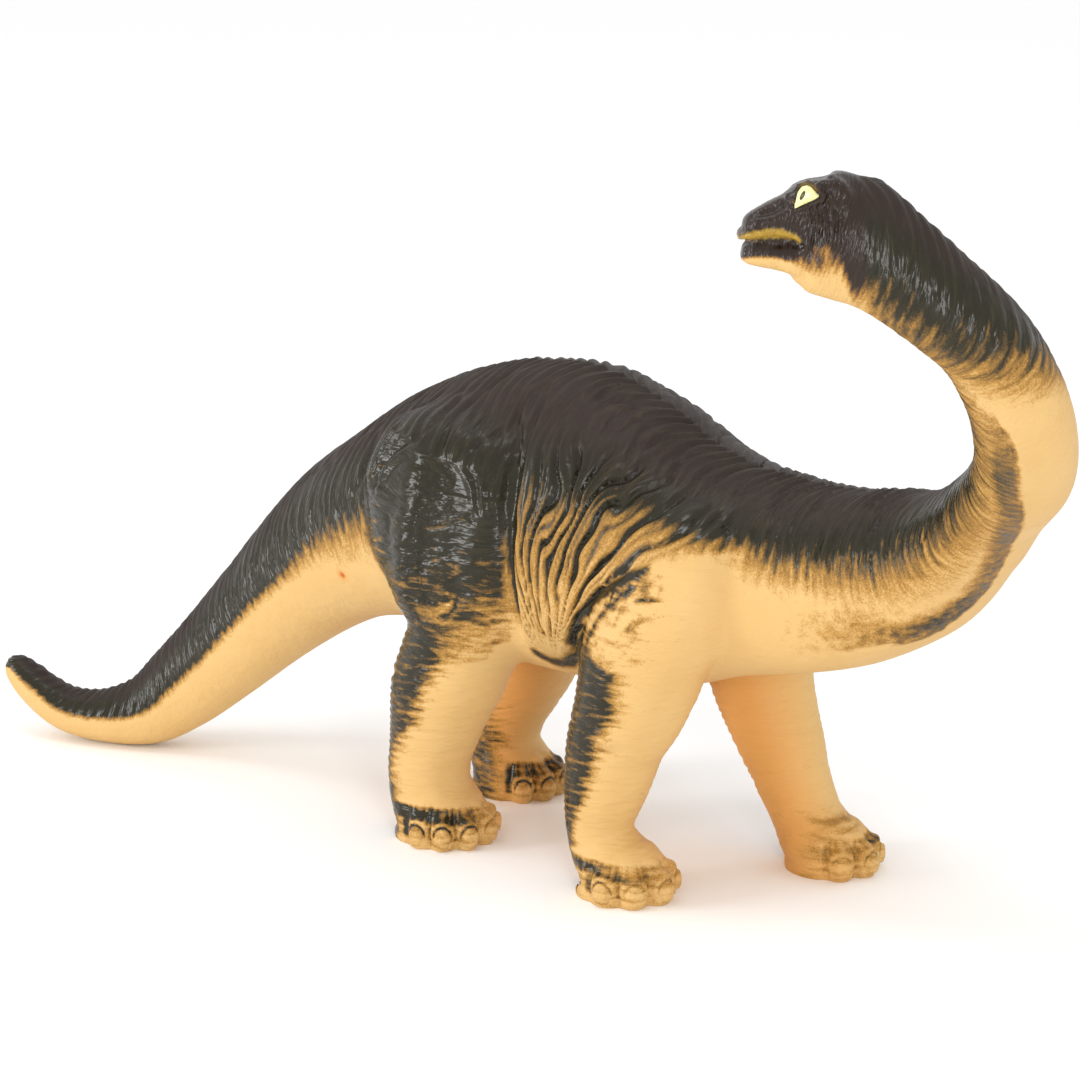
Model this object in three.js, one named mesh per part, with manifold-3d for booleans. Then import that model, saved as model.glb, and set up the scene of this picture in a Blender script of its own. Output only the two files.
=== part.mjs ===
// A soft vinyl long-necked dinosaur figure, standing on its four feet.
//
// Millimetres, +Z up, +X towards the animal's chest, +Y towards its left side.
// The figure is drawn about a point on the floor midway between the hind feet,
// and the finished group is moved so that the origin is the bottom centre of its box.
import * as THREE from 'three';
import { mergeVertices } from 'three/addons/utils/BufferGeometryUtils.js';
import Module from 'manifold-3d';

const wasm = await Module();
wasm.setup();

// driving sizes
const GAP = 0.3;              // parting gap between two nodes
const BODY_SIDES = 22;        // facets round the tail, the torso and the neck
const LIMB_SIDES = 16;        // facets round a leg
const BODY_STEPS = 2;         // rings between two stations of the body
const LIMB_STEPS = 2;         // rings between two stations of a leg
const SOLE_LEVEL = 0;         // the four soles lie at this height
const TOE = 3.1;              // half the width of a toe
const TOE_LONG = 3.7;         // half its length and height
const TOE_HIGH = 3.0;         // height of its middle
const NAIL = [1.5, 2.0, 2.0]; // half the thickness, width and height of a nail
const NAIL_HIGH = 2.2;        // height of its middle
const SOLE_IN = 0.6;          // how far the stump's sole lies behind the toes' middle
const STUMP = 0.45;           // how far down from the ankle the foot is half spread
const STUMP_HIGH = 7.4;       // height of that place
const INSTEP = 0.3;           // how far the instep has come forward there
const ROLL_HIGH = 3.6;        // height where the foot is widest
const BELOW = 1.0;            // how deep the stump is drawn before the floor cuts it

// materials
const finish = (color, roughness) => new THREE.MeshStandardMaterial({ color, roughness, metalness: 0 });
const vinyl = finish(0xe8c07a, 0.55);
const darkVinyl = finish(0x4a4238, 0.45);
const eyePaint = finish(0xe9e4a0, 0.4);

// A station is a place on the middle line with the half width to each side, the half
// height towards the back and the half height towards the belly.
const station = (x, y, z, wide, up, down) => ({
  at: new THREE.Vector3(x, y, z),
  size: new THREE.Vector3(wide, up, down),
});

// the middle line of the body, from the tip of the tail to a place inside the head
const BODY = [
  station(-134.8, -27.8, 19.9, 1.3, 1.3, 1.3),
  station(-133.0, -27.3, 17.9, 3.4, 3.1, 3.6),
  station(-128.6, -26.0, 14.4, 4.7, 4.0, 5.3),
  station(-120.2, -23.0, 8.8, 5.8, 4.7, 6.3),
  station(-109.9, -19.5, 7.6, 6.6, 5.9, 7.1),
  station(-98.6, -14.0, 10.1, 7.8, 8.6, 9.4),
  station(-90.5, -10.0, 16.2, 9.0, 10.8, 10.8),
  station(-80.6, -6.5, 26.2, 10.8, 12.0, 12.6),
  station(-67.0, -3.4, 40.2, 13.2, 13.9, 15.0),
  station(-52.0, -1.2, 54.0, 16.0, 17.0, 18.1),
  station(-39.2, 0, 63.6, 18.6, 19.7, 21.3),
  station(-25.0, 0, 70.8, 21.0, 22.7, 24.9),
  station(-11.0, 0, 75.6, 23.5, 27.8, 30.6),
  station(4.0, 0, 78.2, 25.5, 33.2, 34.0),
  station(20.0, 0, 79.4, 27.8, 36.9, 36.0),
  station(36.0, 0, 79.8, 29.2, 37.6, 36.2),
  station(52.0, 0, 79.4, 28.6, 33.2, 35.0),
  station(67.0, 0, 78.2, 26.6, 26.8, 31.6),
  station(82.0, 0, 77.6, 23.5, 23.4, 25.2),
  station(97.0, 0, 78.0, 20.6, 22.2, 21.6),
  station(113.0, 0, 80.8, 18.4, 19.9, 18.9),
  station(128.4, -1.0, 85.8, 16.0, 18.0, 14.8),
  station(141.6, -6.0, 94.4, 12.8, 13.4, 9.6),
  station(156.6, -16.0, 108.2, 10.2, 10.6, 8.7),
  station(170.6, -29.0, 122.2, 10.4, 9.8, 10.5),
  station(178.2, -41.0, 134.7, 10.2, 9.5, 10.8),
  station(181.6, -51.2, 145.5, 9.8, 9.3, 10.0),
  station(180.6, -60.4, 156.5, 9.5, 9.0, 9.9),
  station(174.8, -68.4, 165.4, 9.4, 9.4, 10.3),
  station(167.6, -74.2, 172.6, 9.2, 10.3, 11.1),
  station(161.6, -78.2, 176.8, 9.2, 12.0, 12.6),
  station(154.4, -84.0, 179.2, 9.2, 12.4, 12.2),
];
// the lengths that the body is moulded in, as numbers of stations
const LENGTHS = {
  tail_tip: [0, 5], tail_middle: [5, 9], tail_base: [9, 12], torso: [12, 19],
  neck_lower: [19, 22], neck_middle: [22, 26], neck_upper: [26, 30],
};

// The stations of a leg run down from inside the body to the ankle: half width to the
// side, half depth to the front and half depth to the rear. Both hips and both
// shoulders are alike, with side -1 on the right and 1 on the left.
const hip = (side) => [
  station(6.0, side * 8.0, 107.0, 4.5, 8.0, 8.0),
  station(7.0, side * 10.6, 102.0, 8.6, 19.0, 18.0),
  station(8.0, side * 16.0, 94.0, 13.4, 27.5, 23.0),
  station(8.5, side * 18.0, 85.0, 15.4, 31.0, 26.5),
  station(9.0, side * 19.0, 74.0, 15.6, 30.0, 25.0),
  station(10.5, side * 19.0, 64.0, 14.8, 24.5, 20.0),
];
const shoulder = (side) => [
  station(76.0, side * 12.0, 93.0, 5.0, 9.0, 9.0),
  station(75.5, side * 15.0, 88.0, 9.5, 13.5, 13.5),
  station(74.5, side * 18.5, 79.0, 12.5, 16.5, 16.5),
  station(71.5, side * 21.0, 70.0, 13.4, 16.2, 16.2),
];
const HIND_RIGHT = [
  ...hip(-1),
  station(11.0, -18.8, 56.0, 13.2, 17.0, 15.6),
  station(9.2, -18.6, 50.0, 12.4, 14.0, 13.0),
  station(6.8, -18.6, 43.5, 12.2, 13.6, 13.2),
  station(4.2, -18.6, 37.5, 12.0, 13.0, 13.0),
  station(1.8, -18.6, 29.0, 10.8, 11.0, 11.4),
  station(-0.8, -18.6, 19.0, 9.6, 9.6, 9.3),
  station(-0.8, -18.6, 12.0, 9.8, 9.6, 9.3),
];
const HIND_LEFT = [
  ...hip(1),
  station(7.6, 18.8, 56.0, 13.2, 15.6, 15.0),
  station(5.6, 18.6, 50.0, 12.4, 12.2, 13.0),
  station(4.2, 18.5, 42.0, 12.0, 10.9, 12.4),
  station(1.6, 18.5, 34.0, 10.8, 9.8, 11.0),
  station(-2.0, 18.5, 26.6, 9.8, 8.6, 9.8),
  station(-5.6, 18.5, 20.0, 8.9, 7.8, 9.0),
  station(-7.6, 18.5, 12.0, 8.9, 7.6, 9.2),
];
const FRONT_RIGHT = [
  ...shoulder(-1),
  station(68.0, -22.0, 62.0, 13.6, 14.6, 15.2),
  station(65.2, -22.2, 54.5, 13.4, 14.6, 13.8),
  station(62.4, -22.2, 46.0, 12.4, 13.2, 12.2),
  station(58.8, -22.2, 37.0, 11.2, 11.2, 10.9),
  station(57.2, -22.2, 29.0, 10.2, 9.8, 10.6),
  station(55.2, -22.2, 22.0, 9.2, 8.6, 9.0),
  station(53.8, -22.2, 14.6, 7.8, 7.2, 7.2),
  station(54.6, -22.2, 11.5, 8.0, 7.8, 7.2),
];
const FRONT_LEFT = [
  ...shoulder(1),
  station(68.4, 21.8, 62.0, 13.6, 14.2, 15.0),
  station(66.6, 22.2, 54.0, 13.0, 13.2, 14.2),
  station(67.6, 22.4, 43.0, 12.0, 11.8, 12.2),
  station(70.8, 22.4, 34.0, 10.8, 10.4, 10.8),
  station(74.2, 22.4, 26.0, 9.8, 9.6, 9.4),
  station(77.6, 22.4, 19.0, 9.0, 7.8, 8.8),
  station(81.2, 22.4, 12.5, 8.6, 6.8, 8.4),
];
// Which stations part the upper leg, the lower leg and the foot, where the sole's
// centre is, how far the sole reaches, and the directions of the toes in degrees from
// straight ahead, positive towards the outer side.
const LEGS = [
  {
    upper: 'thigh_right', lower: 'shin_right', foot: 'hind_foot_right', side: -1,
    line: HIND_RIGHT, knee: 8, ankle: 12,
    sole: [3.9, -18.6], long: 13.0, wide: 11.9, toes: [-52, -20, 12, 44, 76],
  },
  {
    upper: 'thigh_left', lower: 'shin_left', foot: 'hind_foot_left', side: 1,
    line: HIND_LEFT, knee: 8, ankle: 12,
    sole: [-3.9, 18.5], long: 12.4, wide: 11.3, toes: [-52, -20, 12, 44, 76],
  },
  {
    upper: 'upper_arm_right', lower: 'forearm_right', foot: 'front_foot_right', side: -1,
    line: FRONT_RIGHT, knee: 6, ankle: 11,
    sole: [61.6, -22.3], long: 12.4, wide: 11.4, toes: [-55, -20, 15, 50, 85],
  },
  {
    upper: 'upper_arm_left', lower: 'forearm_left', foot: 'front_foot_left', side: 1,
    line: FRONT_LEFT, knee: 6, ankle: 10,
    sole: [88.4, 22.4], long: 11.8, wide: 11.2, toes: [-55, -20, 15, 50, 85],
  },
];

// The head is drawn about its own middle, +X towards the snout, and turned into place.
const HEAD_AT = [152.7, -84.9, 179.6];
const HEAD_TURN = -137;       // degrees about the upright axis
const SKULL = [
  station(-13.0, 0, -3.2, 8.6, 12.8, 11.4),
  station(-9.0, 0, -2.6, 9.0, 13.4, 11.8),
  station(-5.0, 0, -1.2, 9.0, 12.2, 11.6),
  station(-2.0, 0, 0.6, 8.6, 9.6, 9.4),
  station(0.6, 0, 1.6, 7.9, 6.8, 6.4),
  station(3.4, 0, 1.5, 7.0, 4.8, 4.2),
  station(6.6, 0, 0.8, 6.2, 3.6, 3.5),
  station(9.4, 0, 0, 5.2, 2.7, 2.8),
  station(11.2, 0, -1.0, 3.9, 1.9, 1.9),
  station(12.0, 0, -1.8, 1.8, 0.7, 0.8),
];
const JAW = [
  station(-5.6, 0, -8.2, 3.2, 2.4, 2.4),
  station(-3.0, 0, -7.2, 5.8, 4.0, 4.4),
  station(0.6, 0, -6.4, 6.9, 3.5, 3.4),
  station(4.2, 0, -5.8, 6.3, 2.8, 2.8),
  station(7.6, 0, -5.5, 5.6, 2.3, 2.4),
  station(10.2, 0, -5.3, 4.2, 1.6, 2.0),
  station(11.9, 0, -5.2, 2.0, 0.9, 1.1),
];
const EYE = { at: [-0.8, 6.6, 6.7], half: [2.7, 1.9, 2.1] };
const BROW = { at: [-2.5, 5.6, 7.3], half: [4.6, 2.5, 2.3], dip: 10 };

// Shapes

function bodyFrame(tangent, upward) {
  // the three directions of a section: along the line, towards the back and to the left
  const back = upward.clone().addScaledVector(tangent, -upward.dot(tangent)).normalize();
  const left = new THREE.Vector3().crossVectors(back, tangent);
  return { back, left };
}

function loft(line, style) {
  // a cylinder laid along the line of the stations, its ends flat and trimmed back
  const { from = 0, to = line.length - 1, steps, sides, upward, grow = 0, trim = 0, narrow = 0 } = style;
  const path = new THREE.CatmullRomCurve3(line.map((s) => s.at));
  const sizes = new THREE.CatmullRomCurve3(line.map((s) => s.size));
  const last = line.length - 1;
  const rings = (to - from) * steps;
  const geometry = new THREE.CylinderGeometry(1, 1, 1, sides, rings);
  const place = geometry.attributes.position;
  for (let i = 0; i < place.count; i += 1) {
    const along = place.getY(i) + 0.5;
    const spread = Math.min(1, Math.hypot(place.getX(i), place.getZ(i)));
    const turn = Math.atan2(place.getZ(i), place.getX(i));
    const t = THREE.MathUtils.clamp((from + along * (to - from)) / last, 0, 1);
    const point = path.getPoint(t);
    const tangent = path.getTangent(t);
    const half = sizes.getPoint(t);
    const { back, left } = bodyFrame(tangent, upward);
    const high = Math.sin(turn);
    const across = Math.cos(turn) * (half.x + grow) * (1 - narrow * high);
    const rise = high * ((high > 0 ? half.y : half.z) + grow);
    point.addScaledVector(left, -across * spread).addScaledVector(back, rise * spread);
    if (along < 1e-6) point.addScaledVector(tangent, trim);
    if (along > 1 - 1e-6) point.addScaledVector(tangent, -trim);
    place.setXYZ(i, point.x, point.y, point.z);
  }
  return geometry;
}

function ball(at, half, tilt = [0, 0, 0], wide = 12, high = 8) {
  // an egg of three half sizes, tilted about its own middle
  const geometry = new THREE.SphereGeometry(1, wide, high);
  const turn = new THREE.Quaternion().setFromEuler(new THREE.Euler(...tilt.map(THREE.MathUtils.degToRad)));
  const pose = new THREE.Matrix4().compose(new THREE.Vector3(...at), turn, new THREE.Vector3(...half));
  return geometry.applyMatrix4(pose);
}

// Solids

function solid(geometry) {
  const bare = geometry.clone();
  bare.deleteAttribute('normal');
  bare.deleteAttribute('uv');
  const joined = mergeVertices(bare, 1e-4);
  return new wasm.Manifold(new wasm.Mesh({
    numProp: 3,
    vertProperties: new Float32Array(joined.attributes.position.array),
    triVerts: new Uint32Array(joined.index.array),
  }));
}

const union = (solids) => solids.reduce((whole, piece) => whole.add(piece));

function largest(whole) {
  // the biggest closed piece, so that no loose scrap is left by a cut
  const pieces = whole.decompose();
  return pieces.reduce((best, piece) => (piece.volume() > best.volume() ? piece : best));
}

function node(name, whole, material, anchor) {
  // one named mesh whose own origin is its anchor point
  const { vertProperties, triVerts } = largest(whole).getMesh();
  const geometry = new THREE.BufferGeometry();
  geometry.setAttribute('position', new THREE.BufferAttribute(vertProperties, 3));
  geometry.setIndex(new THREE.BufferAttribute(triVerts, 1));
  geometry.translate(-anchor.x, -anchor.y, -anchor.z);
  geometry.computeVertexNormals();
  const mesh = new THREE.Mesh(geometry, material);
  mesh.name = name;
  mesh.position.copy(anchor);
  return mesh;
}

// Body

const UP = new THREE.Vector3(0, 0, 1);
const AHEAD = new THREE.Vector3(1, 0, 0);
const bodyStyle = { steps: BODY_STEPS, sides: BODY_SIDES, upward: UP, narrow: 0.1 };

function bodyLength(name, [from, to]) {
  const shape = loft(BODY, { ...bodyStyle, from, to, trim: GAP / 2 });
  return node(name, solid(shape), name.startsWith('neck') ? darkVinyl : vinyl, BODY[from].at);
}

// the trunk with the roots of the tail and the neck, swollen by the gap: the legs are
// trimmed back to it
const rootToRoot = { from: LENGTHS.tail_base[0], to: LENGTHS.neck_lower[1] };
const trunk = solid(loft(BODY, { ...bodyStyle, ...rootToRoot, grow: GAP }));

// Legs

const limbStyle = { steps: LIMB_STEPS, sides: LIMB_SIDES, upward: AHEAD };

function legLength(name, leg, from, to) {
  const shape = loft(leg.line, { ...limbStyle, from, to, trim: GAP / 2 });
  return node(name, solid(shape).subtract(trunk), vinyl, leg.line[from].at);
}

function toe(leg, degrees) {
  // a knuckle with a broad nail in front of it, both pressed on to the floor
  const turn = THREE.MathUtils.degToRad(degrees) * leg.side;
  const ahead = [Math.cos(turn), Math.sin(turn)];
  const reach = Math.hypot(ahead[0] * (leg.long - TOE), ahead[1] * (leg.wide - TOE));
  const spot = (extra, z) => [0, 1].map((k) => leg.sole[k] + ahead[k] * (reach + extra)).concat(z);
  const tilt = [0, 0, THREE.MathUtils.radToDeg(turn)];
  return [
    solid(ball(spot(0.4, TOE_HIGH), [TOE_LONG, TOE, TOE_LONG], tilt, 8, 6)),
    solid(ball(spot(TOE + 0.1, NAIL_HIGH), NAIL, tilt, 6, 4)),
  ];
}

function foot(name, leg) {
  // a short stump that spreads from the ankle to a flat sole, with its toes
  const ankle = leg.line[leg.ankle];
  const shin = loft(leg.line, { ...limbStyle, from: leg.knee, to: leg.ankle, grow: GAP, trim: -GAP / 2 });
  const [x, y] = leg.sole;
  const mid = ankle.at.clone().lerp(new THREE.Vector3(x, y, SOLE_LEVEL), STUMP);
  const instep = THREE.MathUtils.lerp(ankle.size.y, leg.long, INSTEP);
  const halfway = [(ankle.size.x + leg.wide) / 2, instep, ankle.size.z + 0.6];
  const stump = [
    ankle,
    station(mid.x, mid.y, STUMP_HIGH, ...halfway),
    station(x - SOLE_IN, y, ROLL_HIGH, leg.wide - 0.6, leg.long - 1.4, leg.long - 0.8),
    station(x - SOLE_IN, y, SOLE_LEVEL - BELOW, leg.wide - 0.8, leg.long - 1.6, leg.long - 0.6),
  ];
  const shape = loft(stump, limbStyle);
  const block = 4 * leg.long;
  const below = new THREE.BoxGeometry(block, block, block);
  below.translate(x, y, SOLE_LEVEL - block / 2);
  const toes = leg.toes.flatMap((degrees) => toe(leg, degrees));
  const whole = union([solid(shape), ...toes]).subtract(solid(below)).subtract(solid(shin));
  return node(name, whole, darkVinyl, new THREE.Vector3(x, y, SOLE_LEVEL));
}

// Head

const mirrored = ([x, y, z]) => [x, -y, z];
const swollen = (half) => half.map((size) => size + GAP);

function headNodes(toHead) {
  // the nodes of the head in its own frame, its back trimmed to the swollen end of the neck
  const [from, to] = LENGTHS.neck_upper;
  const nape = loft(BODY, { ...bodyStyle, from, to, grow: GAP, trim: -GAP / 2 }).applyMatrix4(toHead);
  const skull = solid(loft(SKULL, { steps: 2, sides: BODY_SIDES, upward: UP })).subtract(solid(nape));
  const jawStyle = { steps: 2, sides: LIMB_SIDES, upward: UP };
  const jaw = solid(loft(JAW, jawStyle));
  const jawRoom = solid(loft(JAW, { ...jawStyle, grow: GAP }));
  const brows = [BROW.at, mirrored(BROW.at)].map((at) => solid(ball(at, BROW.half, [0, BROW.dip, 0])));
  const eyeball = (at, half) => solid(ball(at, half, [0, 0, 0], 14, 8));
  const sockets = [EYE.at, mirrored(EYE.at)].map((at) => eyeball(at, swollen(EYE.half)));
  const cranium = union([skull, ...brows]).subtract(union([jawRoom, ...sockets]));
  const eye = (name, at) => node(name, eyeball(at, EYE.half), eyePaint, new THREE.Vector3(...at));
  const middle = new THREE.Vector3(0, 0, 0);
  return [
    node('head', cranium, darkVinyl, middle),
    node('lower_jaw', jaw, vinyl, JAW[0].at),
    eye('eye_left', EYE.at),
    eye('eye_right', mirrored(EYE.at)),
  ];
}

// The figure

const figure = new THREE.Group();
for (const [name, ends] of Object.entries(LENGTHS)) figure.add(bodyLength(name, ends));
for (const leg of LEGS) {
  figure.add(legLength(leg.upper, leg, 0, leg.knee));
  figure.add(legLength(leg.lower, leg, leg.knee, leg.ankle));
  figure.add(foot(leg.foot, leg));
}
const head = new THREE.Group();
head.position.set(...HEAD_AT);
head.rotation.z = THREE.MathUtils.degToRad(HEAD_TURN);
head.updateMatrix();
head.add(...headNodes(head.matrix.clone().invert()));
figure.add(head);

const group = new THREE.Group();
group.add(figure);
group.updateMatrixWorld(true);
const everyVertex = true;
const box = new THREE.Box3().setFromObject(group, everyVertex);
figure.position.set(-(box.min.x + box.max.x) / 2, -(box.min.y + box.max.y) / 2, -box.min.z);

export default group;
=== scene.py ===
# %% [markdown]
# # A soft vinyl long-necked dinosaur
#
# The real object is one hollow moulding of cream vinyl, about 33 cm long. Its skin is full
# of folds and wrinkles that were carved in the mould, and dark brown paint was sprayed over
# the back, so that it catches on the ridges and thins out into streaks and a fine haze.
# The rigid solids come first: they are loaded as they are.

# %% Load the fixed frame
import math

import bpy
import numpy as np
from mathutils import Matrix, Vector


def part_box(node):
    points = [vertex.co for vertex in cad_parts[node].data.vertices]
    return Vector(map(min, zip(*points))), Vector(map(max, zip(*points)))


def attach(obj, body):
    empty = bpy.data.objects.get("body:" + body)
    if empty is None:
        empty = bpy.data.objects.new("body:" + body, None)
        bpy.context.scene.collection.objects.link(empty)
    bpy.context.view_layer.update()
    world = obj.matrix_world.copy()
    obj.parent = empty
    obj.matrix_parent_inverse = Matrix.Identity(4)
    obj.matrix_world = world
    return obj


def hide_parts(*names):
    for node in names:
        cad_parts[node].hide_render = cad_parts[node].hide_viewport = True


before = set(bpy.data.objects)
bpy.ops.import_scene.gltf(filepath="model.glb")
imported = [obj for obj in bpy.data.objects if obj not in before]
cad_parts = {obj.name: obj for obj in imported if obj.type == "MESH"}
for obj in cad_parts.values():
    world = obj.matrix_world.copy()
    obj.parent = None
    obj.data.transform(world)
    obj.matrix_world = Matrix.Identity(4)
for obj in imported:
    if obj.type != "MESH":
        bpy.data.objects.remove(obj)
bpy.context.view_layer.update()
MM = 0.001

# %% [markdown]
# ## Where the figure was drawn
#
# The solids were drawn about a point on the floor between the hind feet, and then moved so
# that their box is centred. All sizes below are millimetres about that first point, which
# is easier to think in. The middle of the two eyeballs tells how far the figure was moved.

# %% Measure the move from the eyeballs
HEAD_AT = np.array([152.7, -84.9, 179.6])
HEAD_TURN = math.radians(-137)
EYE_AT = np.array([-0.8, 6.6, 6.7])
HEAD_AXES = np.array([
    [math.cos(HEAD_TURN), math.sin(HEAD_TURN), 0.0],
    [-math.sin(HEAD_TURN), math.cos(HEAD_TURN), 0.0],
    [0.0, 0.0, 1.0],
])


def middle_of(node):
    low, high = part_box(node)
    return (np.array(low) + np.array(high)) / 2 / MM


between_eyes = (middle_of("eye_left") + middle_of("eye_right")) / 2
HOME = between_eyes - (HEAD_AT + np.array([EYE_AT[0], 0.0, EYE_AT[2]]) @ HEAD_AXES)
print("the figure was moved by", HOME.round(3), "mm")

# %% [markdown]
# ## Camera
#
# The photograph was taken from the animal's right front, a little above its back. The angle
# was found by fitting a pinhole camera to the four soles, which all stand on one floor.
# A long lens from a metre away keeps the same mild perspective.

# %% Set up the camera
VIEW_FROM = math.radians(39)
VIEW_ABOVE = math.radians(16)
VIEW_DISTANCE = 1000.0
VIEW_TARGET = np.array([24.1, -7.3, 75.0])
SENSOR_WIDTH, LENS = 36.0, 142.0
back = Vector((
    math.sin(VIEW_FROM) * math.cos(VIEW_ABOVE),
    -math.cos(VIEW_FROM) * math.cos(VIEW_ABOVE),
    math.sin(VIEW_ABOVE),
))
side = Vector((math.cos(VIEW_FROM), math.sin(VIEW_FROM), 0.0))
bpy.ops.object.select_all(action="DESELECT")
bpy.ops.object.camera_add()
camera = bpy.context.object
camera.name = "photo_camera"
camera.data.sensor_width = SENSOR_WIDTH
camera.data.lens = LENS
turn_to = Matrix((side, back.cross(side), back)).transposed()
place = Vector(VIEW_TARGET + HOME) + back * VIEW_DISTANCE
camera.matrix_world = Matrix.Translation(place * MM) @ turn_to.to_4x4()
bpy.context.scene.camera = camera
print("camera at", tuple(round(v, 3) for v in camera.matrix_world.translation))

# %% [markdown]
# ## The lines that the body and the legs follow
#
# A body of this kind is a bundle of tubes: one long tube from the tail's tip into the head,
# and one for each leg. Each row is a place on the tube's middle line with the half width to
# the side, the half height up and the half height down. A smooth curve runs through the
# rows, so that the tube has no corners. The same rows place the folds and the paint later.

# %% Rows of the body
BODY = np.array([
    [-134.8, -27.8, 19.9, 1.3, 1.3, 1.3],
    [-133.0, -27.3, 17.9, 3.4, 3.1, 3.6],
    [-128.6, -26.0, 14.4, 4.7, 4.0, 5.3],
    [-120.2, -23.0, 8.8, 5.8, 4.7, 6.3],
    [-109.9, -19.5, 7.6, 6.6, 5.9, 7.1],
    [-98.6, -14.0, 10.1, 7.8, 8.6, 9.4],
    [-90.5, -10.0, 16.2, 9.0, 10.8, 10.8],
    [-80.6, -6.5, 26.2, 10.8, 12.0, 12.6],
    [-67.0, -3.4, 40.2, 13.2, 13.9, 15.0],
    [-52.0, -1.2, 54.0, 16.0, 17.0, 18.1],
    [-39.2, 0.0, 63.6, 18.6, 19.7, 21.3],
    [-25.0, 0.0, 70.8, 21.0, 22.7, 24.9],
    [-11.0, 0.0, 75.6, 23.5, 27.8, 30.6],
    [4.0, 0.0, 78.2, 25.5, 33.2, 34.0],
    [20.0, 0.0, 79.4, 27.8, 36.9, 36.0],
    [36.0, 0.0, 79.8, 29.2, 37.6, 36.2],
    [52.0, 0.0, 79.4, 28.6, 33.2, 35.0],
    [67.0, 0.0, 78.2, 26.6, 26.8, 31.6],
    [82.0, 0.0, 77.6, 23.5, 23.4, 25.2],
    [97.0, 0.0, 78.0, 20.6, 22.2, 21.6],
    [113.0, 0.0, 80.8, 18.4, 19.9, 18.9],
    [128.4, -1.0, 85.8, 16.0, 18.0, 14.8],
    [141.6, -6.0, 94.4, 12.8, 13.4, 9.6],
    [156.6, -16.0, 108.2, 10.2, 10.6, 8.7],
    [170.6, -29.0, 122.2, 10.4, 9.8, 10.5],
    [178.2, -41.0, 134.7, 10.2, 9.5, 10.8],
    [181.6, -51.2, 145.5, 9.8, 9.3, 10.0],
    [180.6, -60.4, 156.5, 9.5, 9.0, 9.9],
    [174.8, -68.4, 165.4, 9.4, 9.4, 10.3],
    [167.6, -74.2, 172.6, 9.2, 10.3, 11.1],
    [161.6, -78.2, 176.8, 9.2, 12.0, 12.6],
    [154.4, -84.0, 179.2, 9.2, 12.4, 12.2],
])
print(len(BODY), "rows from the tip of the tail into the head")


# %% Rows of the legs
def hip(side_of):
    return [
        [6.0, side_of * 8.0, 107.0, 4.5, 8.0, 8.0],
        [7.0, side_of * 10.6, 102.0, 8.6, 19.0, 18.0],
        [8.0, side_of * 16.0, 94.0, 13.4, 27.5, 23.0],
        [8.5, side_of * 18.0, 85.0, 15.4, 31.0, 26.5],
        [9.0, side_of * 19.0, 74.0, 15.6, 30.0, 25.0],
        [10.5, side_of * 19.0, 64.0, 14.8, 24.5, 20.0],
    ]


def shoulder(side_of):
    return [
        [76.0, side_of * 12.0, 93.0, 5.0, 9.0, 9.0],
        [75.5, side_of * 15.0, 88.0, 9.5, 13.5, 13.5],
        [74.5, side_of * 18.5, 79.0, 12.5, 16.5, 16.5],
        [71.5, side_of * 21.0, 70.0, 13.4, 16.2, 16.2],
    ]


LEG_ROWS = {
    "hind_right": hip(-1) + [
        [11.0, -18.8, 56.0, 13.2, 17.0, 15.6],
        [9.2, -18.6, 50.0, 12.4, 14.0, 13.0],
        [6.8, -18.6, 43.5, 12.2, 13.6, 13.2],
        [4.2, -18.6, 37.5, 12.0, 13.0, 13.0],
        [1.8, -18.6, 29.0, 10.8, 11.0, 11.4],
        [-0.8, -18.6, 19.0, 9.6, 9.6, 9.3],
        [-0.8, -18.6, 12.0, 9.8, 9.6, 9.3],
    ],
    "hind_left": hip(1) + [
        [7.6, 18.8, 56.0, 13.2, 15.6, 15.0],
        [5.6, 18.6, 50.0, 12.4, 12.2, 13.0],
        [4.2, 18.5, 42.0, 12.0, 10.9, 12.4],
        [1.6, 18.5, 34.0, 10.8, 9.8, 11.0],
        [-2.0, 18.5, 26.6, 9.8, 8.6, 9.8],
        [-5.6, 18.5, 20.0, 8.9, 7.8, 9.0],
        [-7.6, 18.5, 12.0, 8.9, 7.6, 9.2],
    ],
    "front_right": shoulder(-1) + [
        [68.0, -22.0, 62.0, 13.6, 14.6, 15.2],
        [65.2, -22.2, 54.5, 13.4, 14.6, 13.8],
        [62.4, -22.2, 46.0, 12.4, 13.2, 12.2],
        [58.8, -22.2, 37.0, 11.2, 11.2, 10.9],
        [57.2, -22.2, 29.0, 10.2, 9.8, 10.6],
        [55.2, -22.2, 22.0, 9.2, 8.6, 9.0],
        [53.8, -22.2, 14.6, 7.8, 7.2, 7.2],
        [54.6, -22.2, 11.5, 8.0, 7.8, 7.2],
    ],
    "front_left": shoulder(1) + [
        [68.4, 21.8, 62.0, 13.6, 14.2, 15.0],
        [66.6, 22.2, 54.0, 13.0, 13.2, 14.2],
        [67.6, 22.4, 43.0, 12.0, 11.8, 12.2],
        [70.8, 22.4, 34.0, 10.8, 10.4, 10.8],
        [74.2, 22.4, 26.0, 9.8, 9.6, 9.4],
        [77.6, 22.4, 19.0, 9.0, 7.8, 8.8],
        [81.2, 22.4, 12.5, 8.6, 6.8, 8.4],
    ],
}
TOES = {
    "hind": dict(hind=True, fat=3.1, toes=(-44, -11, 21, 53, 86)),
    "front": dict(hind=False, fat=3.7, toes=(-42, 0, 41, 82)),
}
LEGS = {
    "hind_right": dict(side=-1, sole=(3.9, -18.6), long=13.0, wide=11.9),
    "hind_left": dict(side=1, sole=(-3.9, 18.5), long=12.4, wide=11.3),
    "front_right": dict(side=-1, sole=(61.6, -22.3), long=12.4, wide=11.4),
    "front_left": dict(side=1, sole=(88.4, 22.4), long=11.8, wide=11.2),
}
for name, leg in LEGS.items():
    leg.update(TOES[name.split("_")[0]], line=np.array(LEG_ROWS[name]))
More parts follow.
